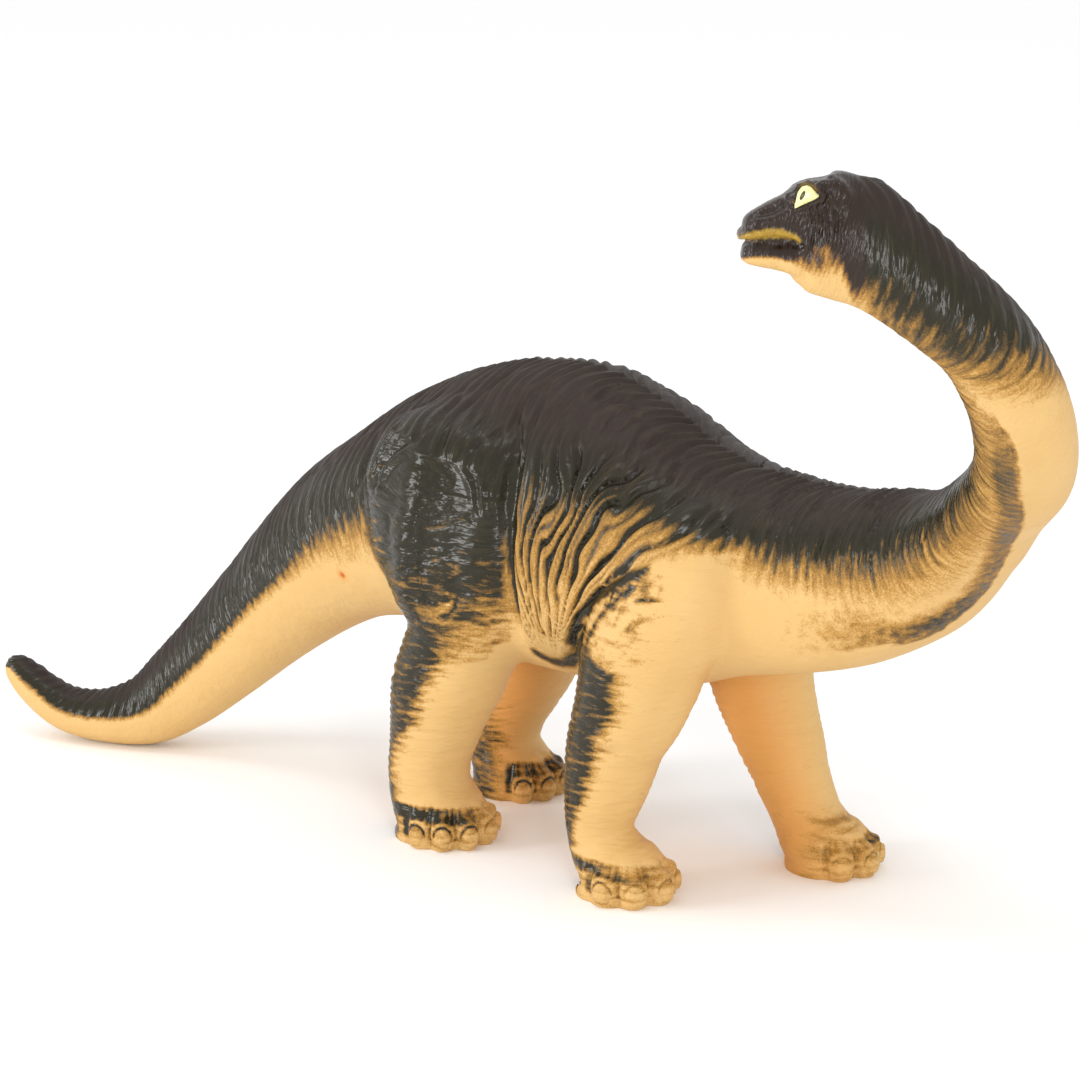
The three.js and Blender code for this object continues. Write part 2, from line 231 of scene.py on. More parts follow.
print("rows of the legs:", {name: len(leg["line"]) for name, leg in LEGS.items()})

# %% [markdown]
# ## Smooth curves through the rows
#
# A Catmull-Rom curve passes through every row. The spacing of its knots goes with the
# square root of the distance, which keeps it from looping where rows are close together.

# %% Run a smooth curve through rows of numbers
PER_ROW = 24


def smooth_through(rows, per=PER_ROW):
    """The curve through the rows, with so many samples from each row to the next."""
    rows = np.asarray(rows, float)
    ahead = np.vstack([rows[1:], 2 * rows[-1] - rows[-2]])
    behind = np.vstack([2 * rows[0] - rows[1], rows[:-1]])
    pieces = []
    for k in range(len(rows) - 1):
        p0, p1, p2, p3 = behind[k], rows[k], rows[k + 1], ahead[k + 1]
        ends = ((p0, p1), (p1, p2), (p2, p3))
        gaps = [max(np.linalg.norm(b - a) ** 0.5, 1e-3) for a, b in ends]
        out = (p1 - p0) / gaps[0] - (p2 - p0) / (gaps[0] + gaps[1]) + (p2 - p1) / gaps[1]
        into = (p2 - p1) / gaps[1] - (p3 - p1) / (gaps[1] + gaps[2]) + (p3 - p2) / gaps[2]
        out, into = out * gaps[1], into * gaps[1]
        w = np.linspace(0, 1, per, endpoint=False)[:, None]
        bend = (-3 * p1 + 3 * p2 - 2 * out - into) * w**2 + (2 * p1 - 2 * p2 + out + into) * w**3
        pieces.append(p1 + out * w + bend)
    return np.vstack(pieces + [rows[-1:]])


def with_directions(line, upward):
    """The curve's places and half sizes, with the directions along it, up it and to its left."""
    at = smooth_through(line[:, :3])
    size = smooth_through(line[:, 3:])
    along = np.gradient(at, axis=0)
    along /= np.linalg.norm(along, axis=1)[:, None]
    up = upward - (along @ upward)[:, None] * along
    up /= np.linalg.norm(up, axis=1)[:, None]
    return dict(at=at, size=size, along=along, up=up, left=np.cross(up, along))


UPWARD = np.array([0.0, 0.0, 1.0])
FORWARD = np.array([1.0, 0.0, 0.0])
SPINE = with_directions(BODY, UPWARD)
steps = np.linalg.norm(np.diff(SPINE["at"], axis=0), axis=1)
SPINE["length"] = np.concatenate([[0.0], np.cumsum(steps)])
print("the spine is", round(SPINE["length"][-1], 1), "mm long")

# %% [markdown]
# ## Roll grids into tubes
#
# A grid is the simplest sheet with rows and columns. Its columns are laid along a curve and
# its rows are wrapped round it, and the first and the last ring are drawn together to a
# point, so that the tube is closed. The tubes overlap freely: they are melted together in
# the next step, as a sculptor joins rolls of clay.

# %% Select, read and write meshes
def alone(*objects):
    """Selects these objects only, the first one active."""
    bpy.ops.object.select_all(action="DESELECT")
    for ob in objects:
        ob.select_set(True)
    bpy.context.view_layer.objects.active = objects[0]


def places(ob):
    """The vertices of a mesh in millimetres about the figure's own point."""
    flat = np.empty(len(ob.data.vertices) * 3)
    ob.data.vertices.foreach_get("co", flat)
    return flat.reshape(-1, 3) / MM - HOME


def put(ob, points):
    ob.data.vertices.foreach_set("co", ((points + HOME) * MM).ravel())
    ob.data.update()


def directions(ob):
    flat = np.empty(len(ob.data.vertices) * 3)
    ob.data.vertex_normals.foreach_get("vector", flat)
    return flat.reshape(-1, 3)


# %% Merge doubles and apply modifiers
def close_up(ob, reach=0.01):
    """Merges vertices that are this close in mm, and turns the faces outwards."""
    alone(ob)
    bpy.ops.object.mode_set(mode="EDIT")
    bpy.ops.mesh.select_all(action="SELECT")
    bpy.ops.mesh.remove_doubles(threshold=reach * MM)
    bpy.ops.mesh.normals_make_consistent(inside=False)
    bpy.ops.object.mode_set(mode="OBJECT")


def apply(ob, kind, **settings):
    """Adds one modifier and applies it at once."""
    alone(ob)
    modifier = ob.modifiers.new(kind.lower(), kind)
    for name, value in settings.items():
        setattr(modifier, name, value)
    bpy.ops.object.modifier_apply(modifier=modifier.name)


print("a millimetre is", MM, "of Blender's units")


# %% Roll a grid into a tube
def sampled(values, t):
    """The rows of a sampled curve at places t from 0 to 1."""
    k = t * (len(values) - 1)
    return np.stack([np.interp(k, np.arange(len(values)), values[:, j]) for j in range(3)], 1)


def tube(name, line, sides, steps_per_row, upward, narrow=0.0, grow=0.0):
    """A closed tube along the rows; narrow draws its top in, and grow makes it fatter."""
    bpy.ops.object.select_all(action="DESELECT")
    rings = (len(line) - 1) * steps_per_row
    bpy.ops.mesh.primitive_grid_add(x_subdivisions=rings, y_subdivisions=sides, size=2)
    ob = bpy.context.object
    ob.name = name
    curve = with_directions(line, upward)
    sheet = np.empty(len(ob.data.vertices) * 3)
    ob.data.vertices.foreach_get("co", sheet)
    sheet = sheet.reshape(-1, 3)
    t = np.clip((sheet[:, 0] + 1) / 2, 0, 1)
    turn = (sheet[:, 1] + 1) * math.pi
    high = np.sin(turn)
    half = sampled(curve["size"], t)
    full = np.where((t < 1e-6) | (t > 1 - 1e-6), 0.0, 1.0)
    wide = np.cos(turn) * (half[:, 0] + grow) * (1 - narrow * high) * full
    rise = high * (np.where(high > 0, half[:, 1], half[:, 2]) + grow) * full
    left, up = sampled(curve["left"], t), sampled(curve["up"], t)
    put(ob, sampled(curve["at"], t) + left * wide[:, None] + up * rise[:, None])
    close_up(ob)
    return ob


INSIDE_FOOT = 4.4     # height of the extra row above the floor


def leg_line(leg):
    """The leg's rows and one more inside the foot, so that the ankle has no notch."""
    ankle, (x, y) = leg["line"][-1], leg["sole"]
    half_way = [ankle[0] + (x - ankle[0]) * 0.5, ankle[1] + (y - ankle[1]) * 0.5]
    inside = [*half_way, INSIDE_FOOT, *(ankle[3:] * 1.02)]
    return np.vstack([leg["line"], inside])


SWELL = 0.35     # what the smoothing takes away again
body = tube("body", BODY, 72, 8, UPWARD, narrow=0.1, grow=SWELL)
rolls = [body]
for name, leg in LEGS.items():
    rolls.append(tube(name, leg_line(leg), 48, 6, FORWARD, grow=SWELL))
print("rolled", len(rolls), "tubes")

# %% [markdown]
# ## Feet
#
# Each foot spreads from the ankle to a flat sole, and the toes are fat knuckles set round
# its front. The stump is one more tube that runs down, and a toe is an egg from a sphere,
# modelled at its place.

# %% Stumps under the ankles
INSTEP = 0.3     # how far the front of the foot has spread half way down


def stump(name, leg):
    ankle = leg["line"][-1]
    x, y = leg["sole"]
    mid = ankle[:3] + (np.array([x, y, 0.0]) - ankle[:3]) * 0.45
    front = ankle[4] + (leg["long"] - ankle[4]) * INSTEP
    rows = np.array([
        ankle,
        [mid[0], mid[1], 7.4, (ankle[3] + leg["wide"]) / 2, front, ankle[5] + 0.6],
        [x - 0.6, y, 3.6, leg["wide"] - 0.8, leg["long"] - 1.8, leg["long"] - 0.8],
        [x - 0.6, y, -1.6, leg["wide"] - 1.0, leg["long"] - 2.0, leg["long"] - 0.8],
    ])
    return tube(name + "_foot", rows, 48, 10, FORWARD)


def egg(name, at, half, turned=0.0, lean=0.0, segments=32, rings=20):
    """A sphere stretched to three half sizes, leant, turned about the upright and put in place."""
    bpy.ops.object.select_all(action="DESELECT")
    bpy.ops.mesh.primitive_uv_sphere_add(segments=segments, ring_count=rings, radius=1)
    ob = bpy.context.object
    ob.name = name
    round_ = np.empty(len(ob.data.vertices) * 3)
    ob.data.vertices.foreach_get("co", round_)
    pose = Matrix.Rotation(turned, 3, "Z") @ Matrix.Rotation(lean, 3, "Y")
    put(ob, (round_.reshape(-1, 3) * half) @ np.array(pose).T + at)
    return ob


# %% Toes
TOE_INSET = 3.1     # from the sole's edge to the middle of a toe
TOE_HEIGHT, KNUCKLE_HEIGHT = 3.5, 6.4
KNUCKLE_BACK, KNUCKLE_LEAN = 3.6, 0.6


def toes(name, leg):
    """Two eggs for each toe: one for its tip and a leaning one for its knuckle."""
    made = []
    long, wide = leg["long"] - TOE_INSET, leg["wide"] - TOE_INSET
    for k, degrees in enumerate(leg["toes"]):
        angle = math.radians(degrees) * leg["side"]
        ahead = np.array([math.cos(angle), math.sin(angle)])
        reach = math.hypot(ahead[0] * long, ahead[1] * wide)
        x, y = np.array(leg["sole"]) + ahead * reach
        made.append(egg(f"{name}_toe_{k}", (x, y, TOE_HEIGHT), (4.0, leg["fat"], 4.9), angle))
        x, y = np.array(leg["sole"]) + ahead * (reach - KNUCKLE_BACK)
        half = (4.8, leg["fat"] - 0.3, 4.6)
        made.append(egg(f"{name}_knuckle_{k}", (x, y, KNUCKLE_HEIGHT), half, angle, KNUCKLE_LEAN))
    return made


feet = []
for name, leg in LEGS.items():
    feet += [stump(name, leg)] + toes(name, leg)
print("shaped", len(feet), "pieces of the feet")

# %% [markdown]
# ## Head
#
# The skull and the lower jaw are two short tubes drawn in the head's own directions, the
# snout ahead. They were measured from the side view of the head, which the photograph shows
# almost square on. The brows and the cheeks are eggs that melt into the skull.

# %% Rows of the skull and the jaw
SKULL = np.array([
    [-15.0, 0, -4.6, 7.6, 11.2, 10.2],
    [-12.0, 0, -3.6, 8.4, 13.0, 11.4],
    [-8.5, 0, -2.6, 8.8, 12.6, 12.0],
    [-5.0, 0, -1.2, 8.8, 12.0, 11.8],
    [-2.0, 0, 0.4, 8.4, 10.2, 9.4],
    [0.6, 0, 1.4, 7.6, 7.6, 6.2],
    [3.4, 0, 1.5, 6.7, 4.6, 5.4],
    [6.6, 0, 0.8, 5.9, 3.6, 4.8],
    [9.4, 0, -0.2, 5.0, 2.8, 4.0],
    [10.6, 0, -1.2, 4.3, 1.5, 3.1],
    [11.5, 0, -1.7, 3.3, 1.1, 2.1],
    [12.0, 0, -2.2, 1.6, 0.3, 1.0],
])
JAW = np.array([
    [-7.0, 0, -9.0, 3.0, 2.4, 2.6],
    [-3.4, 0, -7.6, 6.0, 4.6, 4.2],
    [0.6, 0, -6.6, 6.7, 5.2, 3.2],
    [4.2, 0, -6.0, 6.1, 4.9, 2.7],
    [7.6, 0, -5.7, 5.3, 4.7, 2.3],
    [10.2, 0, -5.5, 4.2, 4.1, 1.9],
    [11.8, 0, -5.2, 1.9, 2.4, 1.0],
])
# the brow's outline leaves no room for the right eye, so it lies a little back and down
SIDE_SHIFT = {1: np.zeros(3), -1: np.array([-1.7, 0.0, -1.4])}
print(len(SKULL), "rows for the skull and", len(JAW), "for the jaw")


# %% Shape the head
def to_head(points):
    """Places in the head's own directions, in millimetres."""
    return (points - HEAD_AT) @ HEAD_AXES.T


def from_head(points):
    return points @ HEAD_AXES + HEAD_AT


def in_head(ob):
    """A piece that was drawn about the head's middle goes to its place."""
    put(ob, from_head(places(ob)))
    return ob


# middle, half sizes and lean of each egg, and how much of the side's shift it takes
HEAD_EGGS = {
    "brow": ((-2.6, 5.5, 7.9), (4.8, 2.4, 1.9), 0.1, (1, 1, 1.4)),
    "orbit": ((-1.6, 4.5, 5.7), (4.3, 2.9, 3.2), 0.0, (1, 1, 1)),
    "cheek": ((-3.2, 5.6, -4.0), (3.4, 3.0, 3.4), 0.5, (0, 0, 0)),
    "crown": ((-6.8, 4.2, 6.7), (3.6, 3.6, 2.6), 0.0, (0.5, 0.5, 0.5)),
}


def head_pieces():
    made = [in_head(tube(name, rows, 48, 8, UPWARD)) for name, rows in (("skull", SKULL), ("jaw", JAW))]
    for mirror in (-1, 1):
        for part, (middle, half, lean, share) in HEAD_EGGS.items():
            at = np.array(middle) * (1, mirror, 1) + SIDE_SHIFT[mirror] * share
            made.append(in_head(egg(f"{part}_{mirror}", at, half, 0.0, lean)))
    return made


head = head_pieces()
print("shaped", len(head), "pieces of the head")

# %% [markdown]
# ## Melt the rolls into one skin
#
# A voxel remesh fills all the overlapping pieces with small cubes and draws one even skin
# round them, so that no seam shows where a leg meets the body. The big rolls are melted
# first and rubbed smooth, and then the head, the toes and a finer grid follow.

# %% Melt and smooth
ROUGH_VOXEL, ROUGH_RUBS = 1.1, 9
FINE_VOXEL, FINE_RUBS = 0.55, 3


def melt(name, pieces, voxel, rubs, strength=0.5):
    """One skin round the pieces, from cubes of this size in mm, rubbed smooth so many times."""
    alone(*pieces)
    bpy.ops.object.join()
    ob = bpy.context.object
    ob.name = name
    apply(ob, "REMESH", mode="VOXEL", voxel_size=voxel * MM)
    apply(ob, "SMOOTH", factor=strength, iterations=rubs)
    return ob


skin = melt("skin", rolls, ROUGH_VOXEL, ROUGH_RUBS)
skin = melt("skin", [skin] + feet + head, FINE_VOXEL, FINE_RUBS)
print("the skin has", len(skin.data.vertices), "vertices")

# %% [markdown]
# ## Maps of the skin
#
# Folds and paint follow the animal, not the room. So each point gets its place on the body:
# how far along the spine it is, and how far round from the crest of the back, to the right
# or to the left. On a leg it is the height and the angle round the leg. A third map turns
# round the pinch in front of the hind leg, from which the folds of the flank fan out.

# %% Smooth noise and steps
rng = np.random.default_rng(11)
LATTICE = rng.random((256, 256))


def noise(u, v, seed=0):
    """Smooth random hills with a spacing of one, from 0 to 1."""
    u, v = u + 37.7 * seed, v + 91.3 * seed
    i, j = np.floor(u).astype(int), np.floor(v).astype(int)
    a, b = u - i, v - j
    a, b = a * a * (3 - 2 * a), b * b * (3 - 2 * b)
    i, j = i % 255, j % 255
    low = LATTICE[i, j] * (1 - a) + LATTICE[i + 1, j] * a
    high = LATTICE[i, j + 1] * (1 - a) + LATTICE[i + 1, j + 1] * a
    return low * (1 - b) + high * b


print("the noise is", round(float(noise(np.array([4.5]), np.array([7.5]))[0]), 2), "at one place")


# %% Steps, bells and distances from a line
def step(low, high, x):
    """A smooth step from 0 at low to 1 at high."""
    w = np.clip((x - low) / (high - low), 0, 1)
    return w * w * (3 - 2 * w)


def bell(x, width):
    """1 at 0, and nearly 0 from twice the width on."""
    return np.exp(-((x / width) ** 2))


def from_line(x, z, corners):
    """The distance of each place from a line of corners, and how far along it the nearest point is."""
    best = np.full(len(x), 1e9)
    along = np.zeros(len(x))
    so_far = 0.0
    for (x0, z0), (x1, z1) in zip(corners[:-1], corners[1:]):
        length = math.hypot(x1 - x0, z1 - z0)
        w = np.clip(((x - x0) * (x1 - x0) + (z - z0) * (z1 - z0)) / length**2, 0, 1)
        gap = np.hypot(x - x0 - w * (x1 - x0), z - z0 - w * (z1 - z0))
        along = np.where(gap < best, so_far + w * length, along)
        best = np.minimum(best, gap)
        so_far += length
    return best, along


print("half a step is", step(0, 2, 1), "and a bell's shoulder", round(float(bell(1, 1)), 2))

# %% The map of the body
NEAREST_AT_ONCE = 4000     # points that are set against the spine in one go, for memory's sake


def body_map(points):
    """Row number, length along the spine, turn from the crest in degrees and arc from it in mm."""
    nearest = np.empty(len(points), int)
    for start in range(0, len(points), NEAREST_AT_ONCE):
        part = points[start:start + NEAREST_AT_ONCE]
        gap = (part**2).sum(1)[:, None] - 2 * part @ SPINE["at"].T + (SPINE["at"]**2).sum(1)[None]
        nearest[start:start + NEAREST_AT_ONCE] = gap.argmin(1)
    away = points - SPINE["at"][nearest]
    on = (away * SPINE["along"][nearest]).sum(1)
    right = -(away * SPINE["left"][nearest]).sum(1)
    up = (away * SPINE["up"][nearest]).sum(1)
    turn = np.degrees(np.arctan2(right, up))
    half = SPINE["size"][nearest]
    tall = np.where(up > 0, half[:, 1], half[:, 2])
    swell = np.hypot(right / half[:, 0], up / tall)
    away_from_skin = np.abs(swell - 1) * (half[:, 0] + tall) / 2
    return dict(row=nearest / PER_ROW, s=SPINE["length"][nearest] + on, turn=turn,
                arc=np.radians(turn) * (half[:, 0] + tall) / 2, gap=away_from_skin)


print("the body's crest is at turn", round(abs(body_map(SPINE["at"] + SPINE["up"])["turn"]).max(), 1))


# %% The maps of the legs
def leg_map(points):
    """For the nearest leg: height, angle from the front to the outside, arc, and the gap to its skin."""
    best = None
    for leg in LEGS.values():
        line = smooth_through(leg["line"])[::-1]
        at = [np.interp(points[:, 2], line[:, 2], line[:, k]) for k in (0, 1, 3, 4, 5)]
        ahead, out = points[:, 0] - at[0], (points[:, 1] - at[1]) * leg["side"]
        deep = np.where(ahead > 0, at[3], at[4])
        swell = np.hypot(ahead / deep, out / at[2])
        gap = np.abs(swell - 1) * (deep + at[2]) / 2 + np.maximum(0, points[:, 2] - line[-1, 2])
        angle = np.degrees(np.arctan2(out, ahead))
        mine = dict(gap=gap, angle=angle, arc=np.radians(angle) * (deep + at[2]) / 2,
                    hind=np.full(len(points), float(leg["hind"])),
                    left=np.full(len(points), leg["side"] > 0.0))
        if best is None:
            best = mine
        else:
            closer = gap < best["gap"]
            best = {key: np.where(closer, mine[key], best[key]) for key in best}
    best["z"] = points[:, 2]
    return best


print("the outside of the thigh is at", leg_map(np.array([[9.0, -36.0, 74.0]]))["angle"].round())

# %% All maps together
PINCH = (39.8, 51.0)     # where the flank is drawn in, in front of the hind leg
# the shoulder's fold: the body above it has its own folds, and the limb begins below
ARC_LINE = [(95, 88), (84.5, 85.5), (80.5, 84.3), (74.5, 82.5), (68.2, 79.4), (61.3, 74.6),
            (51.9, 66.0), (45, 55)]
ARC_X, ARC_Z = np.array(ARC_LINE[::-1], float).T
FEET_BELOW = 30     # below this height everything is a leg
LEGS_FROM, LEGS_TO = -32, 105     # and outside these lengths nothing is


def all_maps(points):
    """Every map at these places. limb says how much a place belongs to a leg, from 0 to 1."""
    on_body, on_leg = body_map(points), leg_map(points)
    x, z = points[:, 0], points[:, 2]
    # the border is narrow, but soft where the shoulder runs into the chest
    blend = 1.2 + 4.8 * step(56, 68, z) * step(74, 86, x)
    limb = step(-blend, blend, on_body["gap"] - on_leg["gap"]) * step(112, 100, z)
    limb = np.where(z < FEET_BELOW, 1.0, limb)
    limb = np.where((np.abs(x) > LEGS_TO) | (x < LEGS_FROM), 0.0, limb)
    above = z - np.interp(x, ARC_X, ARC_Z)
    limb = limb * (1 - step(-0.5, 1.5, above) * step(41, 45, x) * (z > 50))
    out, up = x - PINCH[0], z - PINCH[1]
    fan_angle, fan_out = np.degrees(np.arctan2(up, out)), np.hypot(out, up)
    local = to_head(points)
    snout = step(-13.5, -9.5, local[:, 0]) * step(30, 22, np.linalg.norm(local, axis=1))
    return dict(body=on_body, leg=on_leg, limb=limb, fan_angle=fan_angle, fan_out=fan_out,
                head=local, snout=snout)


print("the maps are", ", ".join(all_maps(SPINE["at"][:1])))

# %% [markdown]
# ## Folds
#
# The mould's folds differ from place to place. Slanted ridges run down from the crest of
# the back and the tail; long wavy folds fan out over the flank; the thigh has arches at its
# top, upright bands of muscle and fine creases across them; the legs have level creases.
# A crease is where a stretched noise passes its middle value: such lines wander, meet and
# part like creases in skin. The vertices are moved along their normals by these heights.
# A small nub sits on the front knee, and the mould left a mark under the tail's root.

# %% The edge of the dark back, and how folds lie on it
# row of the body; turn from the crest, in degrees, where the paint ends and where it is
# still whole on the left, and where it is still whole and where it ends on the right
EDGE = np.array([
    [0.0, 175, 165, 165, 175],
    [1.0, 100, 84, 80, 96],
    [2.2, 96, 78, 74, 92],
    [3.3, 94, 80, 78, 92],
    [4.8, 94, 82, 80, 92],
    [6.0, 90, 76, 74, 88],
    [7.2, 94, 84, 82, 92],
    [8.9, 98, 86, 86, 98],
    [9.8, 100, 82, 82, 100],
    [10.8, 108, 80, 78, 108],
    [11.6, 106, 78, 74, 106],
    [12.6, 98, 66, 62, 98],
    [13.6, 106, 50, 48, 106],
    [14.6, 112, 48, 46, 112],
    [15.2, 114, 50, 48, 114],
    [16.0, 108, 46, 42, 108],
    [16.8, 92, 50, 46, 90],
    [17.4, 82, 54, 52, 82],
    [18.4, 82, 56, 56, 82],
    [19.6, 86, 58, 58, 88],
    [20.6, 94, 62, 62, 104],
    [21.6, 98, 68, 68, 130],
    [22.2, 94, 64, 74, 152],
    [23.0, 86, 58, 78, 170],
    [24.0, 76, 54, 80, 180],
    [25.4, 68, 46, 90, 190],
    [26.0, 92, 34, 110, 190],
    [26.6, 165, 50, 120, 200],
    [27.1, 235, 78, 120, 225],
    [28.0, 250, 112, 116, 245],
    [28.6, 215, 110, 110, 215],
    [29.2, 140, 106, 106, 150],
    [30.0, 130, 104, 106, 132],
    [31.0, 132, 104, 108, 132],
])


def edge_of(on_body):
    """How whole the back's paint is: 1 inside its edge, 0 where it ends, beyond that either way."""
    left_end, left_whole, right_whole, right_end = (
        np.interp(on_body["row"], EDGE[:, 0], EDGE[:, k]) for k in (1, 2, 3, 4))
    turn = on_body["turn"]
    whole = np.where(turn >= 0, right_whole, left_whole)
    end = np.where(turn >= 0, right_end, left_end)
    return np.clip(1 - (np.abs(turn) - whole) / (end - whole), -1.5, 2.5), whole


def lie_on_body(on_body, whole):
    """The place across the folds, which lean towards the tail on their way down from the crest."""
    down = np.abs(on_body["arc"])
    reach = np.maximum(np.radians(whole) * 20, 12)
    x = np.clip(down / reach, 0, 1)
    return on_body["s"] + 0.75 * reach * (x - x * x / 2), down


def crease(u, v, seed, width=0.1):
    """Lines where a noise passes its middle, as wandering creases from 0 to 1."""
    return np.clip(1 - np.abs(noise(u, v, seed) - 0.5) / width, 0, 1)


print(len(EDGE), "rows for the edge of the dark back")

# %% Folds of the flank and under the shoulder
GROOVE = [(23.5, 112), (28.5, 103), (31, 97), (31.8, 90), (32.6, 79), (32.9, 67), (32.5, 59), (30, 52)]
GROOVE_X, GROOVE_Z = np.array(GROOVE[::-1], float).T
SHOULDER_FOLD = [(84, 93), (74, 86), (62, 76), (54, 66), (47, 57), (43, 50)]


def fan_zone(m, points):
    """Where the folds of the flank are: between the thigh's groove and the shoulder's fold."""
    x, z = points[:, 0], points[:, 2]
    side_of = step(12, 20, np.abs(points[:, 1]))
    front = step(0, 5, x - np.interp(z, [50, 67, 79, 90, 97, 112], [29, 33, 32.6, 31.8, 31, 24]))
    top = step(112, 98, z) * step(48, 56, z)
    rear = step(2, -4, x - np.interp(z, [50, 57, 66, 76, 86, 93, 112], [44, 48, 56, 64, 78, 92, 110]))
    return side_of * front * top * rear * (1 - m["limb"])


def fan_grooves(m):
    """Long grooves that spread from the pinch, and shorter ones between them further out."""
    angle, out = m["fan_angle"], m["fan_out"]
    wave = angle / 6.6 + 1.7 * (noise(angle / 16, out / 15, 4) - 0.5)
    wave = wave + 0.55 * (noise(angle / 5, out / 6, 18) - 0.5)
    whole = np.clip(0.35 + 1.1 * noise(angle / 7, out / 13, 5), 0, 1)
    main = bell(wave % 1 - 0.5, 0.15) * whole
    part = np.clip(1.6 * noise(angle / 9, out / 12, 6) - 0.2, 0, 1)
    other = bell((wave * 2 + 0.5) % 1 - 0.5, 0.2) * step(18, 32, out) * part
    return main, other


def shoulder_arcs(points):
    """Creases that follow the shoulder's fold below it, and how near they are to it."""
    x, z = points[:, 0], points[:, 2]
    gap, along = from_line(x, z, ARC_LINE)
    below = step(-1.5, 0.5, np.interp(x, ARC_X, ARC_Z) - z) * step(42, 46, x)
    sides = step(8, 14, np.abs(points[:, 1])) * step(112, 100, x)
    whole = below * sides * bell(gap, 15) * step(84, 74, x) * step(44, 52, z)
    wave = gap / 3.6 + 1.3 * (noise(along / 12, gap / 9, 21) - 0.5)
    thick = 0.5 + 0.7 * noise(along / 8, gap / 4, 22)
    lines = np.clip(1.5 * np.cos(2 * math.pi * wave) - 0.1, 0, 1) * thick
    return np.clip(whole * lines, 0, 1), whole


print("the thigh's groove has", len(GROOVE), "corners, the shoulder's fold", len(SHOULDER_FOLD))


# %% Heights of the folds on the body
def fold_heights(m, points):
    """How far each place is moved outwards, in mm, and how much darker the folds and lighter the ridges are
    coloured, partly for the paint that gathers in the folds and partly as painted shade.
    """
    on_body = m["body"]
    edge, whole = edge_of(on_body)
    w, down = lie_on_body(on_body, whole)
    wavy = 1.1 * (noise(w / 9, down / 13, 1) - 0.5) + 0.35 * (noise(w / 3, down / 6, 8) - 0.5)
    ridge = 0.5 + 0.5 * np.cos(2 * math.pi * (w / 3.1 + wavy))
    patch = 0.45 + 0.9 * noise(w / 7, down / 10, 2)
    fan = fan_zone(m, points)
    inside = step(-0.1, 0.9, edge) * (1 - 0.75 * fan)
    trunk = step(8.5, 13.5, on_body["row"]) * step(22.5, 19, on_body["row"])
    size = 0.30 + 0.20 * trunk + 0.32 * bell(down, 5.0) * trunk
    height = size * inside * patch * (ridge**0.8 - 0.5)
    height -= 0.36 * inside * crease(w / 4.6, down / 17, 3, 0.09) * (0.5 + trunk)
    groove, side_groove = fan_grooves(m)
    near = step(3, 12, m["fan_out"])
    height -= fan * near * (1.35 * groove + 0.55 * side_groove - 0.40)
    gap, _ = from_line(points[:, 0], points[:, 2], SHOULDER_FOLD)
    height -= 0.9 * bell(gap, 1.6) * step(12, 20, np.abs(points[:, 1])) * (1 - 0.7 * m["limb"])
    height -= 0.8 * shoulder_arcs(points)[0]
    # paint and painted shade: darker in the grooves of the flank and between the ridges, lighter on the
    # ridges
    deep = fan * near * (1.75 * groove + 0.9 * side_groove - 0.1) + 0.35 * inside * (0.5 - ridge)
    here = (1 - m["limb"]) * (1 - m["snout"])
    return height * here, deep * here


crest = SPINE["at"] + SPINE["up"] * SPINE["size"][:, 1:2]
on_crest, _ = fold_heights(all_maps(crest), crest)
print("folds along the crest from", on_crest.min().round(2), "to", on_crest.max().round(2), "mm")

# %% Heights of the folds on the legs
THIGH_MIDDLE = (9.5, 82.0)
MOULD_MARK = np.array([-27.6, -18.9, 59.5])
KNEE_NUB = np.array([64.2, -33.4, 40.6])


def leg_heights(m, points):
    """The same for the legs: arches and bands on the thighs, creases further down."""
    leg, x, z = m["leg"], points[:, 0], points[:, 2]
    thigh = leg["hind"] * step(52, 62, z)
    out, up = x - THIGH_MIDDLE[0], z - THIGH_MIDDLE[1]
    arch = np.hypot(out, up / 1.05)
    arch_wave = arch / 2.7 + 1.2 * (noise(arch / 6, np.degrees(np.arctan2(up, out)) / 24, 7) - 0.5)
    arches = (0.5 + 0.5 * np.cos(2 * math.pi * arch_wave)) * step(12, 19, arch) * step(82, 93, z)
    bands = sum(bell(x - at - 0.06 * (z - 80), 5.0) for at in (5.0, 26.5)) - 0.5
    bands = bands * step(104, 94, z) * step(54, 64, z) * step(20, 26, np.abs(points[:, 1]))
    cross = z + 0.22 * np.abs(leg["arc"] - 14) + 2.4 * (noise(leg["arc"] / 9, z / 7, 9) - 0.5)
    creases = crease(cross / 3.6, leg["arc"] / 13, 10, 0.10)
    finer = 0.5 + 0.5 * np.cos(2 * math.pi * (cross / 2.1))
    rear = bell((np.abs(leg["angle"]) - 165) / 60, 1.0)
    lower = step(60, 48, z) * step(13, 20, z)
    height = thigh * (1.1 * (arches - 0.4) + 1.4 * bands)
    height -= 0.45 * creases * (0.35 + 0.65 * thigh * step(98, 88, z) + 0.6 * rear * lower)
    height += 0.20 * finer * (thigh * step(98, 90, z) + lower * (0.35 + rear))
    gap, _ = from_line(x, z, GROOVE)
    outside = step(10, 18, np.abs(points[:, 1]))
    pinch = 1.5 * bell(gap, 1.5) * outside * step(54, 62, z) * step(113, 104, z)
    nub = np.linalg.norm(points - KNEE_NUB, axis=1)
    # wandering lines across the thigh that are coloured paler
    paler_lines = crease(cross / 3.3 + 7, leg["arc"] / 11, 12, 0.09) * thigh * step(104, 84, z)
    # paint and painted shade: darker in the creases and in the thigh's groove, lighter on the arches, the
    # fine ridges and the paler lines
    deep = creases * (0.35 + 0.3 * thigh) - 0.70 * paler_lines * (0.6 + 0.5 * np.clip(0.3 - bands, 0, 1))
    deep -= thigh * 0.26 * arches * step(112, 104, z)
    deep += 0.55 * (0.35 - finer) * lower * step(40, 80, np.abs(leg["angle"]))
    deep = deep * m["limb"] + 1.3 * bell(gap, 0.9) * outside * step(56, 66, z)
    mark = np.linalg.norm(points - MOULD_MARK, axis=1)
    return height * m["limb"] - pinch + 1.5 * bell(nub, 2.0) - 0.5 * bell(mark, 1.1), deep


print("the nub on the knee is", KNEE_NUB[2], "mm above the floor")

